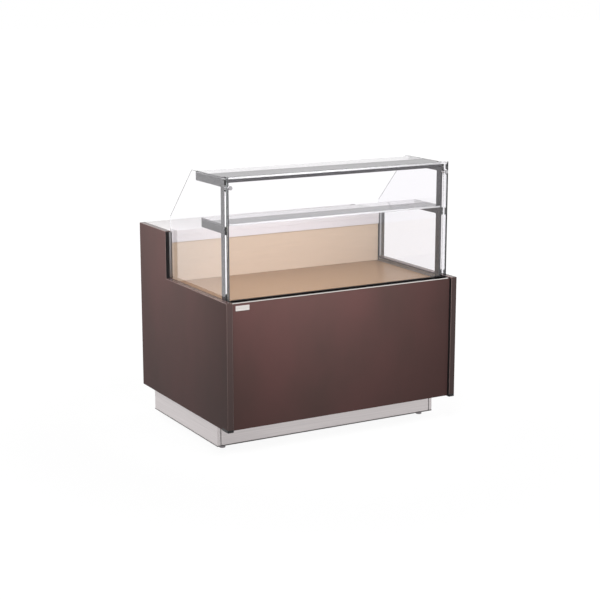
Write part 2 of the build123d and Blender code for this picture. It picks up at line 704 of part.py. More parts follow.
def make_carcass():
    """Floor, partition, storage shelves, bag shelf, support and cleats."""
    reach = INNER - FIT
    half_board = BOARD_T / 2
    add("base_floor", block((-reach, reach), (PANEL_BACK + FIT, DOOR_FACE), (PANEL_BOTTOM, FLOOR_TOP)))
    front = PANEL_BACK + FIT
    rear = DOOR_BACK - FIT
    under_channel = CHANNEL_BOTTOM - FIT
    outline = [
        (front, FLOOR_TOP), (rear, FLOOR_TOP), (rear, BAG_SHELF_BOTTOM),
        (WALL_REAR + FIT, BAG_SHELF_BOTTOM), (WALL_REAR + FIT, DECK_BOTTOM),
        (POST_FRONT, DECK_BOTTOM), (POST_FRONT, under_channel), (front, under_channel),
    ]
    partition = prism_x(outline, (-half_board, half_board))
    shelf = block((half_board + FIT, INNER - FIT),
                  (front + STORAGE_SHELF_INSET, rear - STORAGE_SHELF_INSET),
                  (STORAGE_SHELF_Z, STORAGE_SHELF_Z + BOARD_T))
    pins = []
    pin_z = STORAGE_SHELF_Z - SHELF_PIN_R
    for y in pin_places():
        outer = rod_x(SHELF_PIN_R, (INNER - SHELF_PIN_REACH, INNER + SHELF_PIN_DEPTH), y, pin_z)
        inner = rod_x(SHELF_PIN_R, (half_board - SHELF_PIN_DEPTH, half_board + SHELF_PIN_REACH), y, pin_z)
        bore_x = (half_board - SHELF_PIN_DEPTH, half_board + OVERCUT)
        bore = rod_x(SHELF_PIN_R + RUNNING, bore_x, y, pin_z)
        partition -= bore
        partition -= mirrored(bore)
        pins += [outer, inner, mirrored(outer), mirrored(inner)]
    add("partition", partition)
    add_pair("storage_shelves", shelf)
    add("shelf_pins", *pins)
    bag_y = (WALL_REAR + FIT, DOOR_FACE)
    add("bag_shelf", block((-reach, reach), bag_y, (BAG_SHELF_BOTTOM, BAG_SHELF_TOP)))
    add("worktop_support", block((-half_board, half_board), (WALL_REAR + FIT, DOOR_FACE - SUPPORT_INSET),
                                 (BAG_SHELF_TOP, WORKTOP_BOTTOM)))
    add_cleats(rear)


def add_cleats(rear):
    """Battens on the end panels under the deck, the bag shelf and the worktop."""
    places = (
        (FRONT + DECK_CLEAT_START, TALL_FRONT - CLEAT_SETBACK, DECK_BOTTOM),
        (WALL_REAR + CLEAT_SETBACK, rear - CLEAT_SETBACK, BAG_SHELF_BOTTOM),
        (WALL_REAR + CLEAT_SETBACK, rear - CLEAT_SETBACK, WORKTOP_BOTTOM),
    )
    cleats = []
    for start, end, top in places:
        cleat = block((INNER - CLEAT, INNER), (start, end), (top - CLEAT, top))
        cleats += [cleat, mirrored(cleat)]
    add("cleats", *cleats)


def make_plinth():
    """The four plinth boards and the blocks that carry the feet."""
    z = (PLINTH_BOTTOM, PANEL_BOTTOM)
    inside = PLINTH_OUT - BOARD_T
    front, rear = PLINTH_Y
    add("plinth_front", block((-inside, inside), (front, front + BOARD_T), z))
    add("plinth_rear", block((-inside, inside), (rear - BOARD_T, rear), z))
    add_pair("plinth_sides", block((inside, PLINTH_OUT), (front, rear), z))
    blocks = []
    for x, y in foot_places():
        corner = block((x - FOOT_BLOCK / 2, x + FOOT_BLOCK / 2), (y - FOOT_BLOCK / 2, y + FOOT_BLOCK / 2),
                       (PANEL_BOTTOM - FOOT_BLOCK_H, PANEL_BOTTOM))
        bore_z = (PANEL_BOTTOM - FOOT_BLOCK_H - OVERCUT, PANEL_BOTTOM)
        corner -= rod_z(FOOT_STEM_R + RUNNING, x, y, bore_z)
        blocks.append(corner)
    add("foot_blocks", *blocks)


def foot_places():
    """X and Y of the feet: front left, front right, rear left, rear right."""
    x = PLINTH_OUT - FOOT_INSET_X
    front = PLINTH_Y[0] + FOOT_INSET_Y
    rear = PLINTH_Y[1] - FOOT_INSET_Y
    return [(-x, front), (x, front), (-x, rear), (x, rear)]


def make_feet():
    """Levelling feet: a round pad, a neck and a threaded stem in its block."""
    names = ("front_left_foot", "front_right_foot", "rear_left_foot", "rear_right_foot")
    for name, (x, y) in zip(names, foot_places()):
        pad = rod_z(FOOT_PAD_R, x, y, (0, FOOT_PAD_H))
        pad = fillet(pad.edges().group_by(Axis.Z)[-1], KNOB_EDGE_R)
        neck_top = FOOT_PAD_H + FOOT_NECK_H
        foot = pad + rod_z(FOOT_NECK_R, x, y, (FOOT_PAD_H, neck_top))
        foot += rod_z(FOOT_STEM_R, x, y, (neck_top, PANEL_BOTTOM - FOOT_STEM_TOP_GAP))
        add(name, foot)


def hinge_heights():
    """Middle height of each door hinge."""
    return (DOOR_BOTTOM + HINGE_INSET, DOOR_TOP - HINGE_INSET)


def fixed_leaf(z):
    """The half hinge on the right end panel, with its pin."""
    ends = (z - HINGE_H / 2, z + HINGE_H / 2)
    middle = (z - HINGE_MIDDLE_H / 2, z + HINGE_MIDDLE_H / 2)
    leaf = block((INNER - HINGE_LEAF_T, INNER), (HINGE_Y - HINGE_LEAF_W, HINGE_Y + HINGE_WEB), ends)
    leaf += block((HINGE_X, INNER), (HINGE_Y - HINGE_WEB, HINGE_Y + HINGE_WEB), ends)
    leaf += rod_z(KNUCKLE_R, HINGE_X, HINGE_Y, ends)
    room = KNUCKLE_R + FIT
    leaf -= rod_z(room, HINGE_X, HINGE_Y, (middle[0] - FIT, middle[1] + FIT))
    return leaf + rod_z(HINGE_PIN_R, HINGE_X, HINGE_Y, ends)


def moving_leaf(z):
    """The half hinge on the right door's outer face."""
    ends = (z - HINGE_H / 2, z + HINGE_H / 2)
    middle = (z - HINGE_MIDDLE_H / 2, z + HINGE_MIDDLE_H / 2)
    plate_y = (DOOR_FACE, DOOR_FACE + HINGE_LEAF_T)
    clear = HINGE_X - KNUCKLE_R - FIT
    leaf = block((clear - HINGE_LEAF_W, clear), plate_y, ends)
    leaf += block((clear - OVERCUT, HINGE_X), plate_y, middle)
    leaf += rod_z(KNUCKLE_R, HINGE_X, HINGE_Y, middle)
    return leaf - rod_z(HINGE_PIN_R + RUNNING, HINGE_X, HINGE_Y, ends)


def door_pull(x):
    """An edge pull on the door's top: a plate with a finger lip."""
    face = DOOR_FACE
    outline = [
        (face, DOOR_TOP), (face + PULL_T, DOOR_TOP), (face + PULL_T, DOOR_TOP - PULL_H + PULL_T),
        (face + PULL_LIP, DOOR_TOP - PULL_H + PULL_T), (face + PULL_LIP, DOOR_TOP - PULL_H),
        (face, DOOR_TOP - PULL_H),
    ]
    return prism_x(outline, (x - PULL_W / 2, x + PULL_W / 2))


def make_doors():
    """Two hinged rear doors with their hinges and pulls."""
    door = block((DOOR_MIDDLE_GAP, INNER - DOOR_SIDE_GAP), (DOOR_BACK, DOOR_FACE), (DOOR_BOTTOM, DOOR_TOP))
    door = fillet(door.edges(), DOOR_EDGE_R)
    add("right_door", door)
    add("left_door", mirrored(door))
    fixed = []
    moving = []
    for z in hinge_heights():
        fixed += [fixed_leaf(z), mirrored(fixed_leaf(z))]
        moving.append(moving_leaf(z))
    add("fixed_hinge_leaves", *fixed)
    add("right_door_hinges", *moving)
    add("left_door_hinges", *[mirrored(leaf) for leaf in moving])
    middle = (DOOR_MIDDLE_GAP + INNER - DOOR_SIDE_GAP) / 2
    add("right_door_pull", door_pull(middle))
    add("left_door_pull", mirrored(door_pull(middle)))


def make_switch():
    """Switch box under the worktop with its rocker, and the power inlet below it."""
    low = WORKTOP_BOTTOM - BOX_H
    x = (SWITCH_X - BOX_W / 2, SWITCH_X + BOX_W / 2)
    y = (DOOR_FACE - BOX_D, DOOR_FACE)
    box = block(x, y, (low, WORKTOP_BOTTOM))
    axis_y = DOOR_FACE - ROCKER_D / 2
    pocket_x = (SWITCH_X - ROCKER_W / 2 - ROCKER_GAP, SWITCH_X + ROCKER_W / 2 + ROCKER_GAP)
    pocket_h = ROCKER_H / 2 + ROCKER_D / 2
    box -= block(pocket_x, (DOOR_FACE - ROCKER_POCKET_D, DOOR_FACE + OVERCUT),
                 (SWITCH_Z - pocket_h, SWITCH_Z + pocket_h))
    pin_reach = ROCKER_W / 2 + ROCKER_PIN_REACH
    bore_reach = pin_reach + FIT
    box -= rod_x(ROCKER_PIN_R + RUNNING, (SWITCH_X - bore_reach, SWITCH_X + bore_reach), axis_y, SWITCH_Z)
    add("switch_box", box)
    half = ROCKER_H / 2
    front = ROCKER_D / 2
    outline = [
        (axis_y + front, SWITCH_Z + half), (axis_y + front / 2, SWITCH_Z),
        (axis_y + front, SWITCH_Z - half), (axis_y - front, SWITCH_Z - half),
        (axis_y - front, SWITCH_Z + half),
    ]
    rocker = prism_x(outline, (SWITCH_X - ROCKER_W / 2, SWITCH_X + ROCKER_W / 2))
    rocker = rocker.rotate(Axis((SWITCH_X, axis_y, SWITCH_Z), (1, 0, 0)), -ROCKER_TILT)
    rocker += rod_x(ROCKER_PIN_R, (SWITCH_X - pin_reach, SWITCH_X + pin_reach), axis_y, SWITCH_Z)
    add("switch_rocker", rocker)
    add("power_inlet", power_inlet(low, (y[0] + y[1]) / 2))


def power_inlet(top, y):
    """A three-pin inlet that faces down from the switch box."""
    inlet_x = (SWITCH_X - INLET_W / 2, SWITCH_X + INLET_W / 2)
    inlet_y = (y - INLET_D / 2, y + INLET_D / 2)
    shape = block(inlet_x, inlet_y, (top - INLET_H, top))
    shape -= block((inlet_x[0] + INLET_WALL, inlet_x[1] - INLET_WALL),
                   (inlet_y[0] + INLET_WALL, inlet_y[1] - INLET_WALL),
                   (top - INLET_H - OVERCUT, top - INLET_WALL))
    for step, back in ((-1, -1), (0, 1), (1, -1)):
        pin_x = SWITCH_X + step * INLET_PIN_PITCH
        pin_y = y + back * INLET_PIN_W
        shape += block((pin_x - INLET_PIN_W / 2, pin_x + INLET_PIN_W / 2),
                       (pin_y - INLET_PIN_D / 2, pin_y + INLET_PIN_D / 2),
                       (top - INLET_WALL - INLET_PIN_H, top - INLET_WALL))
    return shape


def write_parts():
    """One STEP file per sub-part."""
    os.makedirs("parts", exist_ok=True)
    for name, solids in parts.items():
        shape = solids[0] if len(solids) == 1 else Compound(children=solids)
        export_step(shape, f"parts/{name}.step")


make_end_panels()
make_front()
make_glass_channel()
make_front_glass()
make_knobs()
make_side_glazing()
make_posts()
make_post_fixings()
make_shelves()
make_light_rail()
make_deck()
make_carcass()
make_plinth()
make_feet()
make_doors()
make_switch()
write_parts()
print(len(parts), "sub-parts written")
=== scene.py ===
import math
import bpy
import numpy as np
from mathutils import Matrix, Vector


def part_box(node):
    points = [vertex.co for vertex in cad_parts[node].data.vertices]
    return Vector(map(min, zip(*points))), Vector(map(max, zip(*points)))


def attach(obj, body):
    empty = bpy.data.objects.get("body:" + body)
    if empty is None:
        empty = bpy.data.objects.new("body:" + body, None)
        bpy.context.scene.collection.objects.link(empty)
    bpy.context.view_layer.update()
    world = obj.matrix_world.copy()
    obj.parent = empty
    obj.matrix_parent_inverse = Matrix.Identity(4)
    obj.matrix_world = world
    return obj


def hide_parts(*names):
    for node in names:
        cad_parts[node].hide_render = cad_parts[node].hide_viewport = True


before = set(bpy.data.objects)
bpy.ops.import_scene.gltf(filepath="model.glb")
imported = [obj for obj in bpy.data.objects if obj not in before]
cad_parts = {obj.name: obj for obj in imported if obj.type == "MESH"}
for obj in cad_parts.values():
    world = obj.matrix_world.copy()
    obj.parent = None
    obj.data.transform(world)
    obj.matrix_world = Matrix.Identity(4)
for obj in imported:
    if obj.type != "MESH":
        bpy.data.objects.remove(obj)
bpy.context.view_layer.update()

bl_info = {
    "name": "Serve over counter",
    "version": (1, 0, 0),
    "blender": (4, 5, 0),
    "location": "3D View > Sidebar > Counter",
    "description": "Dresses a shop's serve over counter with its finishes, fixings and seals",
    "category": "Object",
}

MM = 0.001
# Height of the end panels beside the display
LOW_PANEL_TOP = 734 * MM
# Gap between a piece added here and what carries it
CLEAR = 0.05 * MM
# Noise seldom leaves this range, so patterns are stretched from it
MIDDLE = (0.3, 0.7)
# Lowest and highest point of each buffer on the side panes, in millimetres
BUFFERS = ((737, 762), (1033.5, 1068), (1229, 1235), (1256, 1279))
# Name, power property, width, place, target (all in metres) and beam in degrees of each lamp
LAMPS = (
    ("key lamp", "key", 0.9, (-0.35, -1.35, 1.75), (-0.1, -0.45, 0.95), 110),
    ("side lamp", "side", 0.8, (-1.7, 0.1, 1.6), (-0.62, 0.15, 1.0), 80),
    ("fill lamp", "fill", 2.4, (0.9, 1.6, 2.9), (0.0, 0.2, 0.7), 180),
    ("right lamp", "beyond", 1.2, (2.4, 0.35, 0.75), (0.62, 0.1, 0.4), 70),
    ("rear lamp", "beyond", 1.2, (-0.5, 2.6, 1.0), (0.0, 0.48, 0.5), 80),
)


def linear(text):
    """An sRGB hex colour as linear light: the standard curve, channel by channel."""
    channels = np.array([int(text[i:i + 2], 16) for i in (1, 3, 5)]) / 255
    curve = np.where(channels <= 0.04045, channels / 12.92, ((channels + 0.055) / 1.055) ** 2.4)
    return tuple(float(value) for value in curve)


# Sizes and colours a user can change


def colour_property(name, description, text):
    """A colour picker whose default is an sRGB hex colour."""
    return bpy.props.FloatVectorProperty(
        name=name, description=description, subtype="COLOR", size=3, min=0.0, max=1.0,
        default=linear(text))


def length_property(name, description, value):
    """A length in metres."""
    return bpy.props.FloatProperty(
        name=name, description=description, default=value, min=0.0, unit="LENGTH", precision=5)


def power_property(name, description, value):
    """A lamp's power in watts."""
    return bpy.props.FloatProperty(name=name, description=description, default=value, min=0.0, unit="POWER")


def angle_property(name, description, degrees):
    """An angle, given in degrees."""
    return bpy.props.FloatProperty(
        name=name, description=description, default=math.radians(degrees), subtype="ANGLE")


class CounterColours(bpy.types.PropertyGroup):
    """Colours of the boards, metals, plastics and glass."""

    panel: colour_property("Brown board", "Faces of the end panels, front panel and doors", "#664a48")
    panel_grey: colour_property("Brown board clouds", "Greyer clouds in the brown boards' faces", "#604b48")
    panel_edge: colour_property("Brown edge band", "Edge banding of the brown boards", "#574543")
    # Pale colour of the rounded board corners, a painted highlight
    arris_highlight: colour_property("Board arris", "Scraped corners of the edge banding", "#8f7b77")
    wall: colour_property("Beige board", "Back wall of the display", "#d2bea6")
    deck: colour_property("Deck board", "Floor of the display", "#97795b")
    worktop: colour_property("Worktop", "Worktop and the apron under it", "#e0dddd")
    carcass: colour_property("Carcass board", "Boards inside the cabinet", "#e6e3de")
    plinth: colour_property("Plinth", "Plinth boards", "#e4dddd")
    frame_metal: colour_property("Frame aluminium", "Posts, brackets and light rail", "#4c494d")
    bright_metal: colour_property("Bright aluminium", "Trim's lip, badge plate and pulls", "#dcd6d2")
    sill: colour_property("Sill aluminium", "Sills of the side panes, and flats above", "#a9a8aa")
    channel: colour_property("Glazing channel", "Uprights that hold the side panes", "#3d3b3e")
    black_metal: colour_property("Black aluminium", "Trim, channel and shoe of the front glass", "#150e0b")
    steel: colour_property("Zinc plated steel", "Fixings, hinges, plates and pins", "#c4c4c2")
    foot: colour_property("Foot", "Levelling feet", "#7f7a7d")
    chrome: colour_property("Chrome", "Knobs and stand-offs", "#b4b2b5")
    black_plastic: colour_property("Black plastic", "Caps, blocks and switch", "#161516")
    white_plastic: colour_property("White plastic", "Cover strips, bushes, diffuser and marks", "#f1f0ef")
    phosphor: colour_property("Phosphor", "Diodes of the light strip", "#e8c65a")
    glass: colour_property("Glass", "Tint of every pane", "#faf9fb")
    # Dark pane edges are painted shade for how the edges look through the glass
    glass_edge: colour_property("Dark pane edge", "Upright edge of the front glass, panes' tops", "#2f2d30")
    pale_edge: colour_property("Pale pane edge", "Edges of the other panes", "#dfe9e8")
    film: colour_property("Shelf film", "Faint grey of the shelves behind their band", "#e9e6e9")
    band: colour_property("Shelf band", "Grey band on the shelves above the light rail", "#5a575b")
    shelf_edge: colour_property("Shelf edge", "Front edges of the glass shelves", "#e3e4e4")
    # The rubber colour also darkens the strips on the tall panels' fronts and beside the front panel, which
    # are painted shade
    rubber: colour_property("Rubber", "Seals, gaskets, buffers and shelf pads", "#1c1a1b")
    silicone: colour_property("Silicone", "Seals of the plinth", "#bcb8b8")


class CounterSizes(bpy.types.PropertyGroup):
    """Sizes of the details added to the frame."""

    board_edge: length_property("Board edge", "Width of the eased edges of the boards", 0.8 * MM)
    thread_pitch: length_property("Thread pitch", "Pitch of the feet's threads", 1.5 * MM)
    thread_depth: length_property("Thread depth", "Depth of the feet's threads", 0.7 * MM)
    flute_depth: length_property("Flute depth", "Depth of the grip flutes round the knobs", 0.35 * MM)
    seal: length_property("Seal", "Height of the seals beside the panes", 4.0 * MM)
    mark: length_property("Switch mark", "Width across the ring on the rocker", 5.0 * MM)
    flutes: bpy.props.IntProperty(name="Flutes", description="Grip flutes round a knob", default=24, min=6)
    upper_band: bpy.props.FloatProperty(
        name="Upper band", description="Where the upper shelf's grey band ends, from the middle to the rear",
        default=-235 * MM, unit="LENGTH", precision=5)
    lower_band: bpy.props.FloatProperty(
        name="Lower band", description="Where the lower shelf's grey band ends, from the middle to the rear",
        default=-264 * MM, unit="LENGTH", precision=5)


class CounterStage(bpy.types.PropertyGroup):
    """Camera and lamps."""

    camera: bpy.props.FloatVectorProperty(
        name="Camera place", description="Where the camera stands", subtype="TRANSLATION", size=3,
        default=(-3.4207, -6.0983, 2.1258))
    heading: angle_property("Heading", "Turn of the camera from straight ahead", 29.438)
    tilt: angle_property("Tilt", "How far the camera looks down", 12.352)
    lens: bpy.props.FloatProperty(
        name="Lens", description="Focal length on a 36 mm sensor, in millimetres", default=86.67, min=1.0)
    key: power_property("Key lamp", "Power of the lamp above the customer's side", 14.5)
    side: power_property("Side lamp", "Power of the lamp beside the left end", 4.6)
    fill: power_property("Fill lamp", "Power of the lamp above the staff's side", 16.0)
    beyond: power_property("Right and rear lamps", "Power of the two lamps beyond the counter", 7.0)
    sky: bpy.props.FloatProperty(
        name="Sky", description="Strength of the surrounding light", default=0.19, min=0.0)
    glow: bpy.props.FloatProperty(
        name="Floor glow", description="Strength of the plain white floor round the counter", default=1.06,
        min=0.0)


# Nodes and patterns


def add(tree, kind, inputs=(), output=0, **settings):
    """Adds one node with its settings, and gives one of its outputs.

    An input is a value, or another node's output, which is linked. Inputs come in order or by name.
    """
    made = tree.nodes.new("ShaderNode" + kind)
    for key, value in settings.items():
        setattr(made, key, value)
    for key, value in inputs.items() if isinstance(inputs, dict) else enumerate(inputs):
        if isinstance(value, bpy.types.NodeSocket):
            tree.links.new(value, made.inputs[key])
        else:
            made.inputs[key].default_value = value
    return made.outputs[output]


def rgba(colour, share=1.0):
    """A colour as the four numbers a socket takes, with its light multiplied by a share."""
    return (*(min(1.0, value * share) for value in colour), 1.0)


def blotches(tree, spacing, detail=3.0):
    """Noise whose blotches measure the given millimetres along X, Y and Z."""
    scale = [1 / (size * MM) for size in spacing]
    place = add(tree, "TexCoord", output="Object")
    scaled = add(tree, "Mapping", {"Vector": place, "Scale": scale})
    return add(tree, "TexNoise", {"Vector": scaled, "Scale": 1.0, "Detail": detail}, "Fac")


def clouded(tree, pattern, first, second):
    """A colour that goes from the first to the second with a pattern."""
    share = add(tree, "MapRange", (pattern, *MIDDLE, 0.0, 1.0))
    return add(tree, "Mix", {0: share, 6: first, 7: second}, 2, data_type="RGBA")


def facing(tree, axis):
    """How far a surface faces along an axis, from 0 to 1, whichever way it points."""
    normal = add(tree, "TexCoord", output="Normal")
    return add(tree, "Math", (add(tree, "SeparateXYZ", (normal,), axis),), operation="ABSOLUTE")


def along(tree, axis):
    """The place on the object along an axis, in metres."""
    return add(tree, "SeparateXYZ", (add(tree, "TexCoord", output="Object"),), axis)


def in_channel(tree, axis):
    """How far a place lies behind the front of the glazing channels, less than 0 above their top."""
    low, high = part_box("glazing_profiles")
    above = add(tree, "Math", (along(tree, 2), high[2]), operation="SUBTRACT")
    over = add(tree, "Math", (above, 0.0), operation="MAXIMUM")
    behind = add(tree, "Math", (along(tree, axis), low[axis]), operation="SUBTRACT")
    steep = add(tree, "Math", (over, 10.0), operation="MULTIPLY")
    return add(tree, "Math", (behind, steep), operation="SUBTRACT")


def within(tree, source, start, end, soft):
    """1 where a value lies between two ends, fading to 0 outside them."""
    rise = add(tree, "MapRange", (source, start - soft, start, 0.0, 1.0))
    fall = add(tree, "MapRange", (source, end, end + soft, 1.0, 0.0))
    return add(tree, "Math", (rise, fall), operation="MULTIPLY")


def seen_rays(tree):
    """1 for camera, glossy and transmission rays, 0 for the rays that carry light to the object."""
    rays = add(tree, "LightPath").node.outputs
    seen = add(tree, "Math", (rays["Is Camera Ray"], rays["Is Glossy Ray"]), operation="MAXIMUM")
    return add(tree, "Math", (seen, rays["Is Transmission Ray"]), operation="MAXIMUM")


def new_material(name, values=()):
    """A material whose shader has the values that are the same all over."""
    made = bpy.data.materials.new(name)
    made.use_nodes = True
    shader = made.node_tree.nodes["Principled BSDF"]
    for key, value in dict(values).items():
        shader.inputs[key].default_value = value
    return made, made.node_tree, shader


def join(tree, shader, patterns):
    """Links patterns into the shader."""
    for key, source in patterns.items():
        tree.links.new(source, shader.inputs[key])


def dress(made, *node_names):
    """Gives nodes of the frame one material."""
    for node_name in node_names:
        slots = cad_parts[node_name].data.materials
        slots.clear()
        slots.append(made)


# Meshes


def make_mesh(name, points, faces):
    """A mesh from an array of points and arrays of corner numbers, one array for each count of corners."""
    corners = np.concatenate([block.ravel() for block in faces])
    counts = np.concatenate([np.full(len(block), block.shape[1]) for block in faces])
    mesh = bpy.data.meshes.new(name)
    mesh.vertices.add(len(points))
    mesh.vertices.foreach_set("co", points.astype(np.float32).ravel())
    mesh.loops.add(len(corners))
    mesh.loops.foreach_set("vertex_index", corners.astype(np.int32))
    mesh.polygons.add(len(counts))
    mesh.polygons.foreach_set("loop_start", (np.cumsum(counts) - counts).astype(np.int32))
    mesh.polygons.foreach_set("use_smooth", np.ones(len(counts), bool))
    mesh.update(calc_edges=True)
    mesh.set_sharp_from_angle(angle=math.radians(35))
    return mesh


def round_angles(columns):
    """Evenly spaced angles round a full turn."""
    return np.arange(columns) * 2 * np.pi / columns


def closed_faces(rows, columns):
    """Faces of a grid whose columns join round, with a pole before its first row and one after its last."""
    row, column = np.meshgrid(np.arange(rows - 1), np.arange(columns), indexing="ij")
    after = (column + 1) % columns
    sides = np.stack([row * columns + column, row * columns + after,
                      (row + 1) * columns + after, (row + 1) * columns + column], -1).reshape(-1, 4) + 1
    ring = np.arange(columns)
    first = np.stack([np.zeros(columns, int), (ring + 1) % columns + 1, ring + 1], -1)
    base = (rows - 1) * columns + 1
    last = np.stack([np.full(columns, rows * columns + 1), ring + base, (ring + 1) % columns + base], -1)
    return [sides, np.concatenate([first, last])]


def turned(heights, radii):
    """A turned shape about Z: its points at each height, with one radius for each row and angle.

    A point is (r cos a, r sin a, h). The poles close the first and the last row on the axis.
    """
    rows, columns = radii.shape
    angle = round_angles(columns)
    rings = np.stack([radii * np.cos(angle), radii * np.sin(angle),
                      np.repeat(heights[:, None], columns, 1)], -1)
    poles = np.array([[0, 0, heights[0]], [0, 0, heights[-1]]])
    points = np.concatenate([poles[:1], rings.reshape(-1, 3), poles[1:]])
    return points, closed_faces(rows, columns)


def pointed(points, sign):
    """Lays a shape made about Z down, so that its top points along Y, to the rear or with -1 the front."""
    return points[:, (1, 2, 0)] * np.array([1, sign, 1])


def tipped(degrees):
    """The matrix of a turn about X."""
    c, s = math.cos(math.radians(degrees)), math.sin(math.radians(degrees))
    return np.array([[1, 0, 0], [0, c, -s], [0, s, c]])


def repeated(points, faces, places):
    """The same shape at several places."""
    places = np.asarray(places, float)
    shifts = (np.arange(len(places)) * len(points))[:, None, None]
    everywhere = (points[None] + places[:, None]).reshape(-1, 3)
    return everywhere, [(block[None] + shifts).reshape(-1, block.shape[1]) for block in faces]


def outward(points, faces):
    """The faces of a closed shape, turned round if the volume they enclose comes out negative."""
    middle = points.mean(axis=0)
    fans = np.concatenate([block[:, [0, k, k + 1]] for block in faces for k in range(1, block.shape[1] - 1)])
    a, b, c = (points[fans[:, k]] - middle for k in range(3))
    if (a * np.cross(b, c)).sum() < 0:
        return [block[:, ::-1] for block in faces]
    return faces


def joined(shapes):
    """Several shapes as one: their points in a row and their faces renumbered, each turned outwards."""
    shapes = [(points, outward(points, faces)) for points, faces in shapes]
    starts = np.cumsum([0] + [len(points) for points, _ in shapes])
    points = np.concatenate([points for points, _ in shapes])
    kinds = {}
    for start, (_, faces) in zip(starts, shapes):
        for block in faces:
            kinds.setdefault(block.shape[1], []).append(block + start)
    return points, [np.concatenate(blocks) for blocks in kinds.values()]


def carried(section, start, end, axis):
    """A closed section of points carried straight along an axis, with a pole in the middle of each end."""
    across = [k for k in range(3) if k != axis]
    rows = np.empty((2, len(section), 3))
    rows[:, :, across] = section
    rows[:, :, axis] = np.array([start, end])[:, None]
    middle = rows.mean(axis=1)
    points = np.concatenate([middle[:1], rows.reshape(-1, 3), middle[1:]])
    return points, closed_faces(2, len(section))


def bar(low, high, axis, ease=0.2 * MM):
    """A straight bar along an axis between two opposite corners, with its long edges eased."""
    a, b = [k for k in range(3) if k != axis]
    outline = [
        (low[a] + ease, low[b]), (high[a] - ease, low[b]),
        (high[a], low[b] + ease), (high[a], high[b] - ease),
        (high[a] - ease, high[b]), (low[a] + ease, high[b]),
        (low[a], high[b] - ease), (low[a], low[b] + ease)]
    return carried(np.array(outline), low[axis], high[axis], axis)


def mirrored(*shapes):
    """Shapes and their images on the other side of the counter's middle plane."""
    return [(points * np.array([sign, 1, 1]), faces) for points, faces in shapes for sign in (-1, 1)]


def new_piece(name, shape, made, body, slot, *replaced):
    """Puts a finished mesh into the scene, on its body, in place of the nodes it stands for."""
    points, faces = shape
    mesh = make_mesh(name, points, outward(points, faces))
    mesh.materials.append(made)
    piece = bpy.data.objects.new(name, mesh)
    bpy.context.scene.collection.objects.link(piece)
    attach(piece, body)
    if replaced:
        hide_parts(*replaced)


def eased(width, *node_names):
    """Eases the sharp edges of boards of the frame."""
    for node_name in node_names:
        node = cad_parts[node_name]
        weld = node.modifiers.new("merge corners", "WELD")
        weld.merge_threshold = 0.01 * MM
        edge = node.modifiers.new("eased edges", "BEVEL")
        edge.width = width
        edge.segments = 2
        edge.limit_method = "ANGLE"
        edge.angle_limit = math.radians(60)
        edge.harden_normals = True


# Materials


def board(name, face, spacing, roughness=0.42, depth=0.04, contrast=0.06, metallic=0.0, drift=None,
          edge=None, edge_axis=0, arris_highlight=None):
    """Melamine faced chipboard with a glued edge band, pressed between satin plates.

    The paper under the resin is one colour with a faint cloudiness, and the plate leaves a fine pearl
    that takes the shine off. The band is plain plastic, darker and smoother than the face, and its
    corners carry a pale painted highlight. A face that looks along the edge axis is board, and one across it
    is band.
    Blotches are drawn several times larger than the real 1 mm pearl, which wouldn't show.
    """
    made, tree, shader = new_material(name, {"IOR": 1.5, "Specular IOR Level": 0.06, "Metallic": metallic})
    pearl = blotches(tree, (3.0, 3.0, 3.0), 4.0)
    other = face if drift is None else drift
    shade = clouded(tree, blotches(tree, spacing), rgba(other, 1 - contrast), rgba(face, 1 + contrast))
    rough = add(tree, "MapRange", (pearl, *MIDDLE, roughness - 0.05, roughness + 0.05))
    if edge is not None:
        towards = facing(tree, edge_axis)
        flat = add(tree, "MapRange", (towards, 0.4, 0.6, 1.0, 0.0))
        shade = add(tree, "Mix", {0: flat, 6: shade, 7: rgba(edge)}, 2, data_type="RGBA")
        # Pale arrises: a painted highlight on the rounded corners between the face and the band
        corner = add(tree, "Math", (add(tree, "MapRange", (towards, 0.1, 0.3, 0.0, 1.0)),
                                    add(tree, "MapRange", (towards, 0.9, 0.98, 1.0, 0.0))),
                     operation="MULTIPLY")
        shade = add(tree, "Mix", {0: corner, 6: shade, 7: rgba(arris_highlight)}, 2, data_type="RGBA")
        smoother = add(tree, "Math", (flat, 0.2), operation="MULTIPLY")
        rough = add(tree, "Math", (rough, smoother), operation="SUBTRACT")
        join(tree, shader, {"Coat Weight": add(tree, "Math", (flat, 0.3), operation="MULTIPLY")})
    raised = add(tree, "Bump", {"Height": pearl, "Distance": depth * MM, "Strength": 1.0})
    join(tree, shader, {"Base Color": shade, "Roughness": rough, "Normal": raised})
    return made


def drawn_metal(name, colour, spacing, roughness, polished=None):
    """Extruded aluminium, etched and anodised to a satin skin.

    The die leaves faint lines along the bar, and they break up its reflections across it. They are
    drawn about ten times as wide as the real 0.2 mm lines, which wouldn't show. A face that looks along
    the polished axis has its coloured skin cut away and shows bright metal.
    """
    made, tree, shader = new_material(name, {"Metallic": 1.0})
    lines = blotches(tree, spacing, 4.0)
    shade = clouded(tree, lines, rgba(colour, 0.92), rgba(colour, 1.08))
    if polished is not None:
        bare, axis = polished
        cut = add(tree, "MapRange", (facing(tree, axis), 0.4, 0.8, 0.0, 1.0))
        shade = add(tree, "Mix", {0: cut, 6: shade, 7: rgba(bare)}, 2, data_type="RGBA")
    join(tree, shader, {
        "Base Color": shade,
        "Roughness": add(tree, "MapRange", (lines, *MIDDLE, roughness - 0.06, roughness + 0.06)),
        "Normal": add(tree, "Bump", {"Height": lines, "Distance": 0.03 * MM, "Strength": 1.0})})
    return made


def plated_metal(name, colour, roughness):
    """Steel or brass with a thin plated skin, barrel finished: even, with soft clouds in its shine."""
    made, tree, shader = new_material(name, {"Metallic": 1.0})
    clouds = blotches(tree, (6.0, 6.0, 6.0))
    join(tree, shader, {
        "Base Color": clouded(tree, clouds, rgba(colour, 0.92), rgba(colour, 1.05)),
        "Roughness": add(tree, "MapRange", (clouds, *MIDDLE, roughness * 0.7, roughness * 1.3))})
    return made


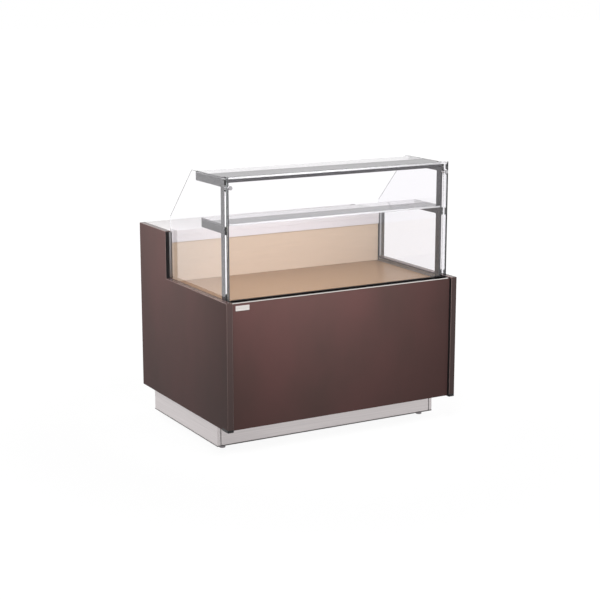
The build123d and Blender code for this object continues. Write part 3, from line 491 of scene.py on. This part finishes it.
def moulded_plastic(name, colour, roughness, grain=1.5):
    """Injection moulded plastic: one colour through, with the spark-eroded grain of its mould.

    The grain takes the shine off evenly. It is drawn several times as coarse as the real 0.2 mm.
    """
    made, tree, shader = new_material(name, {"IOR": 1.5, "Specular IOR Level": 0.4})
    texture = blotches(tree, (grain, grain, grain), 2.0)
    join(tree, shader, {
        "Base Color": clouded(tree, texture, rgba(colour, 0.94), rgba(colour, 1.06)),
        "Roughness": add(tree, "MapRange", (texture, *MIDDLE, roughness - 0.06, roughness + 0.06)),
        "Normal": add(tree, "Bump", {"Height": texture, "Distance": 0.03 * MM, "Strength": 1.0})})
    return made


def pane(name, tint, zones):
    """Clear float glass with ground and polished edges.

    Light goes through the faces and shows what stands behind. In a zone the pane shows a colour: its
    edges show its depth, so they are milky, where they are dark the dark is painted shade, and a shelf
    has a soft grey band. A zone is what it reads (the place along an axis, or how far the surface faces
    along it), the axis, its two ends, how soft it fades, its colour and how much it covers. Lamps shine
    through the pane.
    """
    made, tree, shader = new_material(name, {"IOR": 1.5})
    shade = rgba(tint)
    solid = 0.0
    for read, axis, start, end, soft, colour, cover in zones:
        inside = within(tree, read(tree, axis), start, end, soft)
        shade = add(tree, "Mix", {0: inside, 6: shade, 7: rgba(colour)}, 2, data_type="RGBA")
        covered = add(tree, "Math", (inside, cover), operation="MULTIPLY")
        solid = add(tree, "Math", (solid, covered), operation="MAXIMUM")
    # Handling leaves a film so thin that it shows only in the sharpness of what the pane mirrors
    film = add(tree, "MapRange", (blotches(tree, (80.0, 80.0, 80.0), 2.0), *MIDDLE, 0.0, 0.006))
    ground = add(tree, "Math", (solid, 0.2), operation="MULTIPLY")
    join(tree, shader, {
        "Base Color": shade,
        "Transmission Weight": add(tree, "Math", (1.0, solid), operation="SUBTRACT"),
        "Roughness": add(tree, "Math", (film, ground), operation="ADD")})
    clear = add(tree, "BsdfTransparent", {"Color": rgba(tint)})
    shadow = add(tree, "LightPath", output="Is Shadow Ray")
    both = add(tree, "MixShader", (shadow, shader.outputs[0], clear))
    tree.links.new(both, tree.nodes["Material Output"].inputs["Surface"])
    return made


# Operators


def settings():
    """The three groups of properties."""
    scene = bpy.context.scene
    return scene.counter_colours, scene.counter_sizes, scene.counter_stage


class COUNTER_OT_boards(bpy.types.Operator):
    """Finish the brown, beige, pale and white boards, and ease their edges"""

    bl_idname = "counter.boards"
    bl_label = "Boards"

    def execute(self, context):
        colours, sizes, _ = settings()
        banded = {"drift": colours.panel_grey, "edge": colours.panel_edge, "arris_highlight": colours.arris_highlight}
        cloud = (260.0, 260.0, 420.0)
        end = board("satin melamine board with edge band", colours.panel, cloud, edge_axis=0, **banded)
        dress(end, "left_end_panel", "right_end_panel")
        front = board("satin melamine front board", colours.panel, cloud, edge_axis=1, **banded)
        dress(front, "front_panel", "left_door", "right_door")
        wall = board("cream high pressure laminate", colours.wall, (160.0, 20.0, 12.0), contrast=0.03)
        dress(wall, "display_back_wall")
        deck = board("tan high pressure laminate", colours.deck, (160.0, 14.0, 20.0), roughness=0.3,
                     depth=0.015)
        dress(deck, "display_deck")
        top = board("pale high pressure laminate", colours.worktop, (60.0, 60.0, 60.0), contrast=0.02)
        dress(top, "worktop", "worktop_apron")
        inner = board("white melamine carcass board", colours.carcass, (40.0, 40.0, 40.0), roughness=0.5,
                      contrast=0.02)
        dress(inner, "base_floor", "partition", "storage_shelves", "bag_shelf", "worktop_support",
              "cleats", "foot_blocks")
        plinth = board("aluminium faced plinth laminate", colours.plinth, (260.0, 260.0, 5.0),
                       roughness=0.34, contrast=0.05, metallic=0.65)
        dress(plinth, "plinth_front", "plinth_rear", "plinth_sides")
        eased(sizes.board_edge, "front_panel", "display_back_wall", "display_deck", "worktop_apron",
              "base_floor", "storage_shelves", "bag_shelf", "worktop_support", "cleats", "plinth_front",
              "plinth_rear", "plinth_sides")
        return {"FINISHED"}


class COUNTER_OT_glass(bpy.types.Operator):
    """Finish the front glass, the side panes and the shelves"""

    bl_idname = "counter.glass"
    bl_label = "Glass"

    def execute(self, context):
        colours, sizes, _ = settings()
        milky = 0.15
        dark = 0.92
        faint = 0.07
        edge_cover = 0.7
        turn = 0.1
        sharp = 0.5 * MM
        soft = 4 * MM
        # Ends past the last pane and past any facing, so that a zone stays open there
        beyond = 1.0
        any_facing = 2.0
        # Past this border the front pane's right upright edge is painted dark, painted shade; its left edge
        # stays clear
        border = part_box("front_glass")[1][0] - 3 * MM
        front = pane("float glass, front pane", colours.glass, (
            (facing, 0, 0.6, any_facing, turn, colours.pale_edge, milky),
            (along, 0, border, beyond, sharp, colours.glass_edge, dark)))
        dress(front, "front_glass")
        side = pane("float glass, side pane", colours.glass, (
            (facing, 0, -1.0, 0.3, turn, colours.pale_edge, milky),
            # The side panes' tops, and their parts inside the glazing channels, are painted dark: painted
            # shade
            (facing, 2, 0.5, any_facing, turn, colours.glass_edge, dark),
            (in_channel, 1, 0.0, beyond, sharp, colours.glass_edge, dark)))
        dress(side, "left_side_glass", "right_side_glass")
        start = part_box("left_post")[0][1] + 10 * MM
        for level, end, cover in (("upper", sizes.upper_band, 0.9), ("lower", sizes.lower_band, 0.36)):
            shelf = pane(f"float glass, {level} shelf glass", colours.glass, (
                (along, 1, end, beyond, soft, colours.film, faint),
                (facing, 1, 0.6, any_facing, turn, colours.shelf_edge, edge_cover),
                (facing, 0, 0.6, any_facing, turn, colours.band, edge_cover),
                (along, 1, start, end, soft, colours.band, cover)))
            dress(shelf, level + "_shelf_glass")
        return {"FINISHED"}


class COUNTER_OT_metalwork(bpy.types.Operator):
    """Finish the posts, brackets, rails, trims, channel and hinges"""

    bl_idname = "counter.metalwork"
    bl_label = "Metalwork"

    def execute(self, context):
        colours, _, _ = settings()
        # How wide and how long the die's lines are drawn, for bars that run across, back and up
        wide, upright = (220.0, 3.0, 3.0), (3.0, 3.0, 220.0)
        thin_wide, thin_deep, deep = (220.0, 2.0, 2.0), (2.0, 160.0, 2.0), (3.0, 160.0, 3.0)
        posts = drawn_metal("satin anodised aluminium, upright", colours.frame_metal, upright, 0.34)
        dress(posts, "left_post", "right_post")
        arm = drawn_metal("satin anodised aluminium, arm", colours.frame_metal, deep, 0.34)
        dress(arm, "shelf_brackets")
        rail = drawn_metal("satin anodised aluminium, rail", colours.frame_metal, wide, 0.34)
        dress(rail, "light_rail")
        trim = drawn_metal("bright anodised aluminium, trim", colours.bright_metal, thin_wide, 0.22)
        dress(trim, "left_door_pull", "right_door_pull", "badge_plate")
        lip = drawn_metal("black anodised aluminium, trim with a polished lip", colours.black_metal,
                          thin_wide, 0.22, polished=(colours.bright_metal, 1))
        dress(lip, "front_panel_trim")
        sill = drawn_metal("satin anodised aluminium, sill", colours.sill, thin_deep, 0.3)
        dress(sill, "side_glass_sills")
        channel = drawn_metal("dark anodised aluminium, glazing channel", colours.channel, upright, 0.34)
        dress(channel, "glazing_profiles")
        black = drawn_metal("black anodised aluminium", colours.black_metal, wide, 0.4)
        dress(black, "glass_channel", "glass_shoe")
        zinc = plated_metal("zinc plated steel", colours.steel, 0.3)
        dress(zinc, "post_base_plates", "shelf_pins", "fixed_hinge_leaves", "left_door_hinges",
              "right_door_hinges")
        chrome = plated_metal("chrome plated brass", colours.chrome, 0.08)
        dress(chrome, "glass_standoffs")
        return {"FINISHED"}


class COUNTER_OT_plastics(bpy.types.Operator):
    """Finish the caps, blocks, pads, strips, diffuser and switch"""

    bl_idname = "counter.plastics"
    bl_label = "Plastics"

    def execute(self, context):
        colours, _, _ = settings()
        black = moulded_plastic("black ABS", colours.black_plastic, 0.42)
        dress(black, "panel_corner_caps", "glass_hinge_blocks", "slot_blocks", "switch_box",
              "switch_rocker", "power_inlet")
        dress(moulded_plastic("black EPDM rubber", colours.rubber, 0.6), "shelf_pads")
        white = moulded_plastic("white rigid PVC", colours.white_plastic, 0.3, 4.0)
        dress(white, "slot_cover_strips", "knob_bushes")
        dress(moulded_plastic("opal polycarbonate", colours.white_plastic, 0.35, 3.0), "light_diffuser")
        strip, tree, shader = new_material("white circuit board with diodes", {"Roughness": 0.4})
        # Phosphor yellow diodes, 3 mm long and 16 mm apart along the strip
        length, pitch = 3 * MM, 16 * MM
        beat = add(tree, "Math", (along(tree, 0), pitch / 2), operation="PINGPONG")
        lit = add(tree, "Math", (beat, length / 2), operation="LESS_THAN")
        join(tree, shader, {"Base Color": add(
            tree, "Mix", {0: lit, 6: rgba(colours.white_plastic), 7: rgba(colours.phosphor)}, 2,
            data_type="RGBA")})
        dress(strip, "light_strip")
        return {"FINISHED"}


class COUNTER_OT_knobs(bpy.types.Operator):
    """Turn the two fluted knobs that hold the front glass"""

    bl_idname = "counter.knobs"
    bl_label = "Knobs"

    def execute(self, context):
        colours, sizes, _ = settings()
        made = plated_metal("chrome plated brass, knob", colours.chrome, 0.1)
        # Depth behind the front face and radius of each row, in millimetres, and how deep the flutes are
        rows = np.array([
            (0.7, 0.4, 0), (0.7, 3.4, 0), (0.5, 4.6, 0), (0.1, 5.6, 0), (0.0, 6.8, 0), (0.2, 7.9, 0),
            (0.7, 8.8, 0), (1.2, 9.2, 0.3), (1.8, 9.45, 1), (2.4, 9.5, 1), (5.6, 9.5, 1), (6.2, 9.45, 1),
            (6.9, 9.2, 0.3), (7.5, 8.7, 0), (8.0, 7.9, 0), (8.0, 3.0, 0), (31.8, 3.0, 0), (32.3, 2.5, 0),
        ])
        wave = 0.5 - 0.5 * np.cos(round_angles(sizes.flutes * 6) * sizes.flutes)
        radii = rows[:, 1:2] * MM - rows[:, 2:3] * wave * sizes.flute_depth
        points, faces = turned(-rows[:, 0] * MM, radii)
        for side in ("left", "right"):
            low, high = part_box(side + "_glass_knob")
            place = np.array([(low[0] + high[0]) / 2, low[1], (low[2] + high[2]) / 2])
            new_piece(side + "_fluted_knob", (pointed(points, -1) + place, faces), made, side + "_knob",
                      "polished_steel", side + "_glass_knob")
        return {"FINISHED"}


def screw(radius, height, shank, length, drive, depth, lobes):
    """A domed screw about Z, with its head's underside at 0 and its shank below, in millimetres.

    The drive is a recess whose radius swings with the angle: six flats for a socket, four lobes for a
    cross. The shank's end is bevelled.
    """
    angle = round_angles(48)
    part = 2 * np.pi / lobes
    if lobes == 6:
        recess = drive / np.cos(angle % part - part / 2)
    else:
        recess = drive * (0.62 + 0.38 * np.cos(lobes * angle))
    around = np.ones(len(angle))
    bevel = 0.4
    dome = [(height, 0.45), (height * 0.92, 0.7), (height * 0.6, 0.92), (height * 0.15, 1.0), (0.0, 1.0)]
    heights = [height - depth, height - depth, height] + [row[0] for row in dome]
    heights += [0.0, -length + bevel, -length]
    radii = [recess * 0.1, recess, recess] + [around * radius * row[1] for row in dome]
    radii += [around * shank, around * shank, around * shank * 0.7]
    return turned(np.array(heights) * MM, np.array(radii) * MM)


class COUNTER_OT_fixings(bpy.types.Operator):
    """Make the post's bolts and plate screws, and the screws of the hinges"""

    bl_idname = "counter.fixings"
    bl_label = "Fixings"

    def execute(self, context):
        colours, _, _ = settings()
        made = plated_metal("zinc plated steel, screw", colours.steel, 0.25)
        head = 1.2
        points, faces = screw(radius=3.2, height=head, shank=2.0, length=39.7, drive=1.25, depth=0.8, lobes=6)
        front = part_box("post_fixings")[0][1] + head * MM
        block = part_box("slot_blocks")[1]
        lower = 1050.75 * MM
        places = [(side * (block[0] - 3.5 * MM), front, z) for side in (-1, 1)
                  for z in (lower, block[2] - 11 * MM)]
        bolts = repeated(pointed(points, -1), faces, places)
        points, faces = screw(radius=4.0, height=1.6, shank=2.0, length=15.6, drive=2.0, depth=1.0, lobes=4)
        low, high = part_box("post_base_plates")
        places = [(side * (high[0] - 32 * MM), y, high[2]) for side in (-1, 1)
                  for y in (low[1] + 8 * MM, high[1] - 8 * MM)]
        screws = repeated(points, faces, places)
        new_piece("post_screws", joined([bolts, screws]), made, "cabinet", "zinc_steel", "post_fixings")
        points, faces = screw(radius=3.6, height=0.6, shank=1.6, length=1.2, drive=1.8, depth=0.5, lobes=4)
        leaf = 1.5
        half = 30
        # Places of a leaf's screws from its edge and from its middle, in millimetres
        holes = ((26, -20), (12, 0), (26, 20))
        for side, sign in (("left", -1), ("right", 1)):
            low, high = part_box(side + "_door_hinges")
            edge = min(abs(low[0]), abs(high[0]))
            places = [(sign * (edge + out * MM), low[1] + leaf * MM, middle + up * MM)
                      for middle in (low[2] + half * MM, high[2] - half * MM) for out, up in holes]
            new_piece(side + "_hinge_screws", repeated(pointed(points, 1), faces, places), made,
                      side + "_rear_door", "zinc_steel")
        return {"FINISHED"}


class COUNTER_OT_feet(bpy.types.Operator):
    """Turn the four levelling feet, with a hexagon collar and a threaded stem"""

    bl_idname = "counter.feet"
    bl_label = "Feet"

    def execute(self, context):
        colours, sizes, _ = settings()
        made = plated_metal("zinc plated steel, foot", colours.foot, 0.35)
        angle = round_angles(36)
        flat = np.pi / 3
        hexagon = 1 / np.cos(angle % flat - flat / 2)
        # Height and radius of each row of the pad and the collar, in millimetres
        pad = np.array([(0, 13.6), (0.5, 14.5), (1.6, 15.0), (8.0, 15.0), (9.6, 14.6), (10.8, 13.0),
                        (11.6, 10.6), (12.0, 9.2)])
        collar = np.array([(12.0, 6.9), (12.4, 7.3), (17.4, 7.3), (18.0, 6.8)])
        # The neck under the thread, the thread's crest and the stem's bevelled end
        neck_height, neck, crest, end_height, end = 18.05, 4.4, 5.0, 128.0, 3.8
        stem = np.arange(18.3, 127.5, 0.375)
        turn = (stem[:, None] * MM / sizes.thread_pitch - angle / (2 * np.pi)) % 1
        groove = np.abs(2 * turn - 1) * sizes.thread_depth / MM
        around = np.ones((1, len(angle)))
        heights = np.concatenate([pad[:, 0], collar[:, 0], [neck_height], stem, [end_height]])
        radii = np.concatenate([
            pad[:, 1:] * around, collar[:, 1:] * hexagon, neck * around, crest - groove, end * around])
        points, faces = turned(heights * MM, radii * MM)
        for row in ("front", "rear"):
            for side in ("left", "right"):
                node_name = f"{row}_{side}_foot"
                low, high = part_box(node_name)
                place = ((low[0] + high[0]) / 2, (low[1] + high[1]) / 2, low[2])
                new_piece(node_name + "_turned", (points + place, faces), made, f"foot_{row}_{side}",
                          "zinc_steel", node_name)
        return {"FINISHED"}


def on_tall_panel(inner, outer, thick):
    """A bar up the front of the right tall panel, between two distances from the panel's inner face."""
    low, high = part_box("right_end_panel")
    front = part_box("worktop")[0][1]
    foot, head = 2 * MM, 4 * MM
    return bar((low[0] + inner, front - thick, LOW_PANEL_TOP + foot),
               (low[0] + outer, front - CLEAR, high[2] - head), 2)


class COUNTER_OT_seals(bpy.types.Operator):
    """Lay the rubber seals and buffers round the panes, and black strips of painted shade on the tall panels
    and beside the front panel
    """

    bl_idname = "counter.seals"
    bl_label = "Seals"

    def execute(self, context):
        colours, sizes, _ = settings()
        made = moulded_plastic("black EPDM rubber, seal", colours.rubber, 0.55)
        # A quarter round: from a foot on the metal up to the glass
        angle = np.linspace(0, np.pi / 2, 7)
        bead = np.stack([np.cos(angle), np.sin(angle)], -1) * sizes.seal
        out, up = np.concatenate([[(0, 0)], bead]).T
        low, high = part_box("side_glass_sills")
        pane_low, pane_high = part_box("right_side_glass")
        section = np.stack([pane_low[0] - CLEAR - out, high[2] + up], -1)
        strip = carried(section, low[1], high[1], 1)
        new_piece("side_glass_seals", joined(mirrored(strip)), made, "cabinet", "black_plastic")
        # Black strips on the fronts of the tall panels, painted shade on their dark front edges
        upright_shade = on_tall_panel(10.5 * MM, 28.8 * MM, 1.6 * MM)
        new_piece("upright_gaskets", joined(mirrored(upright_shade)), made, "cabinet", "black_plastic")
        # Angled buffers round the front edges of the side panes, where the front glass lands
        lap, thick, front_thick, bite, leg = 1.0 * MM, 1.4 * MM, 1.15 * MM, 0.3 * MM, 14 * MM
        edge, outside = pane_low[1], pane_high[0]
        buffers = []
        for start, end in BUFFERS:
            buffers.append(bar((outside - lap, edge - front_thick, start * MM),
                               (outside + thick, edge - CLEAR, end * MM), 2))
            buffers.append(bar((outside + CLEAR, edge - bite, start * MM),
                               (outside + thick, edge + leg, end * MM), 2))
        new_piece("side_glass_buffers", joined(mirrored(*buffers)), made, "cabinet", "black_plastic")
        # Black strips in the corners between the front panel and the end panels, painted shade on the end
        # panels' inner faces there
        end_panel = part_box("right_end_panel")[0]
        low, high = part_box("front_panel")
        width, set_back, gap, foot, head = 1.1 * MM, 1.5 * MM, 0.2 * MM, 1 * MM, 2 * MM
        corner_shade_strip = bar((end_panel[0] - width, end_panel[1] + set_back, low[2] + foot),
                     (end_panel[0] - CLEAR, low[1] - gap, high[2] - head), 2)
        new_piece("front_panel_seals", joined(mirrored(corner_shade_strip)), made, "cabinet", "black_plastic")
        # The quarter round again, along the shoe of the front glass
        low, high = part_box("glass_shoe")
        section = np.stack([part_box("front_glass")[0][1] - CLEAR - out, high[2] + up], -1)
        inset = 12 * MM
        new_piece("front_glass_seal", carried(section, low[0] + inset, high[0] - inset, 0), made,
                  "glass", "black_plastic")
        return {"FINISHED"}


class COUNTER_OT_strips(bpy.types.Operator):
    """Fix the flats beside the black strips of painted shade on the tall panels, and seal the plinth's joints
    and lower edges
    """

    bl_idname = "counter.strips"
    bl_label = "Strips"

    def execute(self, context):
        colours, _, _ = settings()
        metal = drawn_metal("satin anodised aluminium, flat", colours.sill, (3.0, 3.0, 220.0), 0.34)
        flat = on_tall_panel(0.0, 10.2 * MM, 1.9 * MM)
        new_piece("upright_flats", joined(mirrored(flat)), metal, "cabinet", "grey_aluminium")
        made = moulded_plastic("grey silicone, plinth seal", colours.silicone, 0.5)
        low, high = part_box("plinth_sides")
        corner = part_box("plinth_front")[1][0]
        # Beads up the corner joints
        half, thick, inset = 2 * MM, 0.8 * MM, 1 * MM
        beads = [bar((corner - half, y, low[2] + inset), (corner + half, y + thick, high[2] - inset), 2)
                 for y in (low[1] - CLEAR - thick, high[1] + CLEAR)]
        # Lips along the lower edges, from under the board to a little up its face
        foot, top, lip = low[2] - 2.6 * MM, low[2] + 2.4 * MM, 0.95 * MM
        side = bar((high[0] + CLEAR, low[1], foot), (high[0] + CLEAR + lip, high[1], top), 1)
        ends = [bar((low[0], y, foot), (high[0], y + lip, top), 0)
                for y in (low[1] - CLEAR - lip, high[1] + CLEAR)]
        new_piece("plinth_seals", joined(mirrored(*beads, side) + ends), made, "cabinet", "light_plastic")
        return {"FINISHED"}


class COUNTER_OT_switch_marks(bpy.types.Operator):
    """Mould the ring and the bar that mark off and on into the rocker"""

    bl_idname = "counter.switch_marks"
    bl_label = "Switch marks"

    def execute(self, context):
        colours, sizes, _ = settings()
        made = moulded_plastic("white ABS, switch marks", colours.white_plastic, 0.4)
        rows, columns = 48, 8
        wide = sizes.mark / 2
        thick = 0.4 * MM
        # The ring is a torus: a small circle of four tenths of a millimetre carried round a large one
        around, across = np.meshgrid(round_angles(rows), round_angles(columns), indexing="ij")
        reach = wide + thick * np.cos(across)
        ring = np.stack([reach * np.cos(around), thick * np.sin(across), reach * np.sin(around)], -1)
        row, column = np.meshgrid(np.arange(rows), np.arange(columns), indexing="ij")
        after_row, after_column = (row + 1) % rows, (column + 1) % columns
        ring_faces = np.stack([row * columns + column, row * columns + after_column,
                               after_row * columns + after_column, after_row * columns + column],
                              -1).reshape(-1, 4)
        angle = round_angles(12)
        line, line_faces = carried(np.stack([np.cos(angle), np.sin(angle)], -1) * thick, -wide, wide, 2)
        low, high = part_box("switch_rocker")
        middle = (np.array(low) + np.array(high)) / 2
        # The whole rocker leans 8 degrees and each half 9.9 degrees more, away from the middle. A half's
        # face is 5 mm above or below the middle, and 2.625 mm out from it.
        whole, half, lift, out = -8.0, 9.9, 5.0 * MM, 2.625 * MM
        shapes = []
        for points, faces, sign in ((ring.reshape(-1, 3), [ring_faces], 1), (line, line_faces, -1)):
            seat = middle + tipped(whole) @ np.array([0, out, sign * lift])
            shapes.append((points @ tipped(whole - sign * half).T + seat, faces))
        new_piece("rocker_marks", joined(shapes), made, "rocker", "light_plastic")
        return {"FINISHED"}


def lamp(name, power, size, place, target, beam):
    """A square soft lamp that shines from a place towards a target and isn't seen itself."""
    data = bpy.data.lights.new(name, "AREA")
    data.shape = "SQUARE"
    data.size = size
    data.energy = power
    data.spread = math.radians(beam)
    made = bpy.data.objects.new(name, data)
    made.location = place
    way = np.array(target) - np.array(place)
    flat = math.hypot(way[0], way[1])
    made.rotation_euler = (math.atan2(flat, -way[2]), 0.0, math.atan2(-way[0], way[1]))
    made.visible_camera = False
    made.visible_glossy = False
    made.visible_transmission = False
    bpy.context.scene.collection.objects.link(made)


class COUNTER_OT_stage(bpy.types.Operator):
    """Set the floor, the surrounding light, the lamps and the camera"""

    bl_idname = "counter.stage"
    bl_label = "Stage"

    def execute(self, context):
        _, _, stage = settings()
        scene = context.scene
        half = 60.0
        mesh = bpy.data.meshes.new("floor")
        mesh.from_pydata([(-half, -half, 0), (half, -half, 0), (half, half, 0), (-half, half, 0)], [],
                         [(0, 1, 2, 3)])
        floor = bpy.data.objects.new("floor", mesh)
        scene.collection.objects.link(floor)
        made, tree, shader = new_material("white studio floor", {"Roughness": 0.9, "Specular IOR Level": 0.0})
        # Seen by the camera the floor is pale and keeps the object's shadow, and to the boards it is dim
        dim, pale = (0.12, 0.12, 0.12, 1.0), (0.8, 0.8, 0.8, 1.0)
        join(tree, shader, {
            "Base Color": add(tree, "Mix", {0: seen_rays(tree), 6: dim, 7: pale}, 2, data_type="RGBA")})
        glow = add(tree, "Emission", {"Strength": stage.glow})
        # The floor turns from nearly to wholly plain white between two distances from the middle
        near, far, least = 1.1, 2.4, 0.88
        place = add(tree, "TexCoord", output="Object")
        reach = add(tree, "VectorMath", (place,), "Value", operation="LENGTH")
        plain = add(tree, "MapRange", (reach, near, far, least, 1.0))
        share = add(tree, "Math", (seen_rays(tree), plain), operation="MULTIPLY")
        both = add(tree, "MixShader", (share, shader.outputs[0], glow))
        tree.links.new(both, tree.nodes["Material Output"].inputs["Surface"])
        mesh.materials.append(made)
        world = bpy.data.worlds.new("white surround")
        world.use_nodes = True
        tree = world.node_tree
        sky = tree.nodes["Background"]
        sky.inputs["Color"].default_value = (1.0, 1.0, 1.0, 1.0)
        strength = add(tree, "MapRange", (seen_rays(tree), 0.0, 1.0, stage.sky, 1.0))
        tree.links.new(strength, sky.inputs["Strength"])
        scene.world = world
        for name, power, size, place, target, beam in LAMPS:
            lamp(name, getattr(stage, power), size, place, target, beam)
        data = bpy.data.cameras.new("camera")
        data.lens = stage.lens
        data.sensor_width = 36.0
        data.clip_end = 200.0
        camera = bpy.data.objects.new("camera", data)
        camera.location = stage.camera
        camera.rotation_euler = (math.pi / 2 - stage.tilt, 0.0, -stage.heading)
        scene.collection.objects.link(camera)
        scene.camera = camera
        scene.view_settings.view_transform = "Standard"
        return {"FINISHED"}


OPERATORS = (
    COUNTER_OT_boards, COUNTER_OT_glass, COUNTER_OT_metalwork, COUNTER_OT_plastics, COUNTER_OT_knobs,
    COUNTER_OT_fixings, COUNTER_OT_feet, COUNTER_OT_seals, COUNTER_OT_strips, COUNTER_OT_switch_marks,
    COUNTER_OT_stage,
)


class COUNTER_PT_pieces(bpy.types.Panel):
    """Lists the counter's pieces"""

    bl_idname = "COUNTER_PT_pieces"
    bl_label = "Serve over counter"
    bl_space_type = "VIEW_3D"
    bl_region_type = "UI"
    bl_category = "Counter"

    def draw(self, context):
        for operator in OPERATORS:
            self.layout.operator(operator.bl_idname)
        for group in settings():
            box = self.layout.box()
            for name in group.__annotations__:
                box.prop(group, name)


GROUPS = {"counter_colours": CounterColours, "counter_sizes": CounterSizes, "counter_stage": CounterStage}
CLASSES = (*GROUPS.values(), *OPERATORS, COUNTER_PT_pieces)


def register():
    """Registers the classes and puts the properties on the scene."""
    for made in CLASSES:
        bpy.utils.register_class(made)
    for name, group in GROUPS.items():
        setattr(bpy.types.Scene, name, bpy.props.PointerProperty(type=group))


def unregister():
    """Takes the properties off the scene and the classes out."""
    for name in GROUPS:
        delattr(bpy.types.Scene, name)
    for made in reversed(CLASSES):
        bpy.utils.unregister_class(made)


def main():
    """Registers the add-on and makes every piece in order."""
    register()
    for operator in OPERATORS:
        group, name = operator.bl_idname.split(".")
        getattr(getattr(bpy.ops, group), name)()


if __name__ == "__main__":
    main()
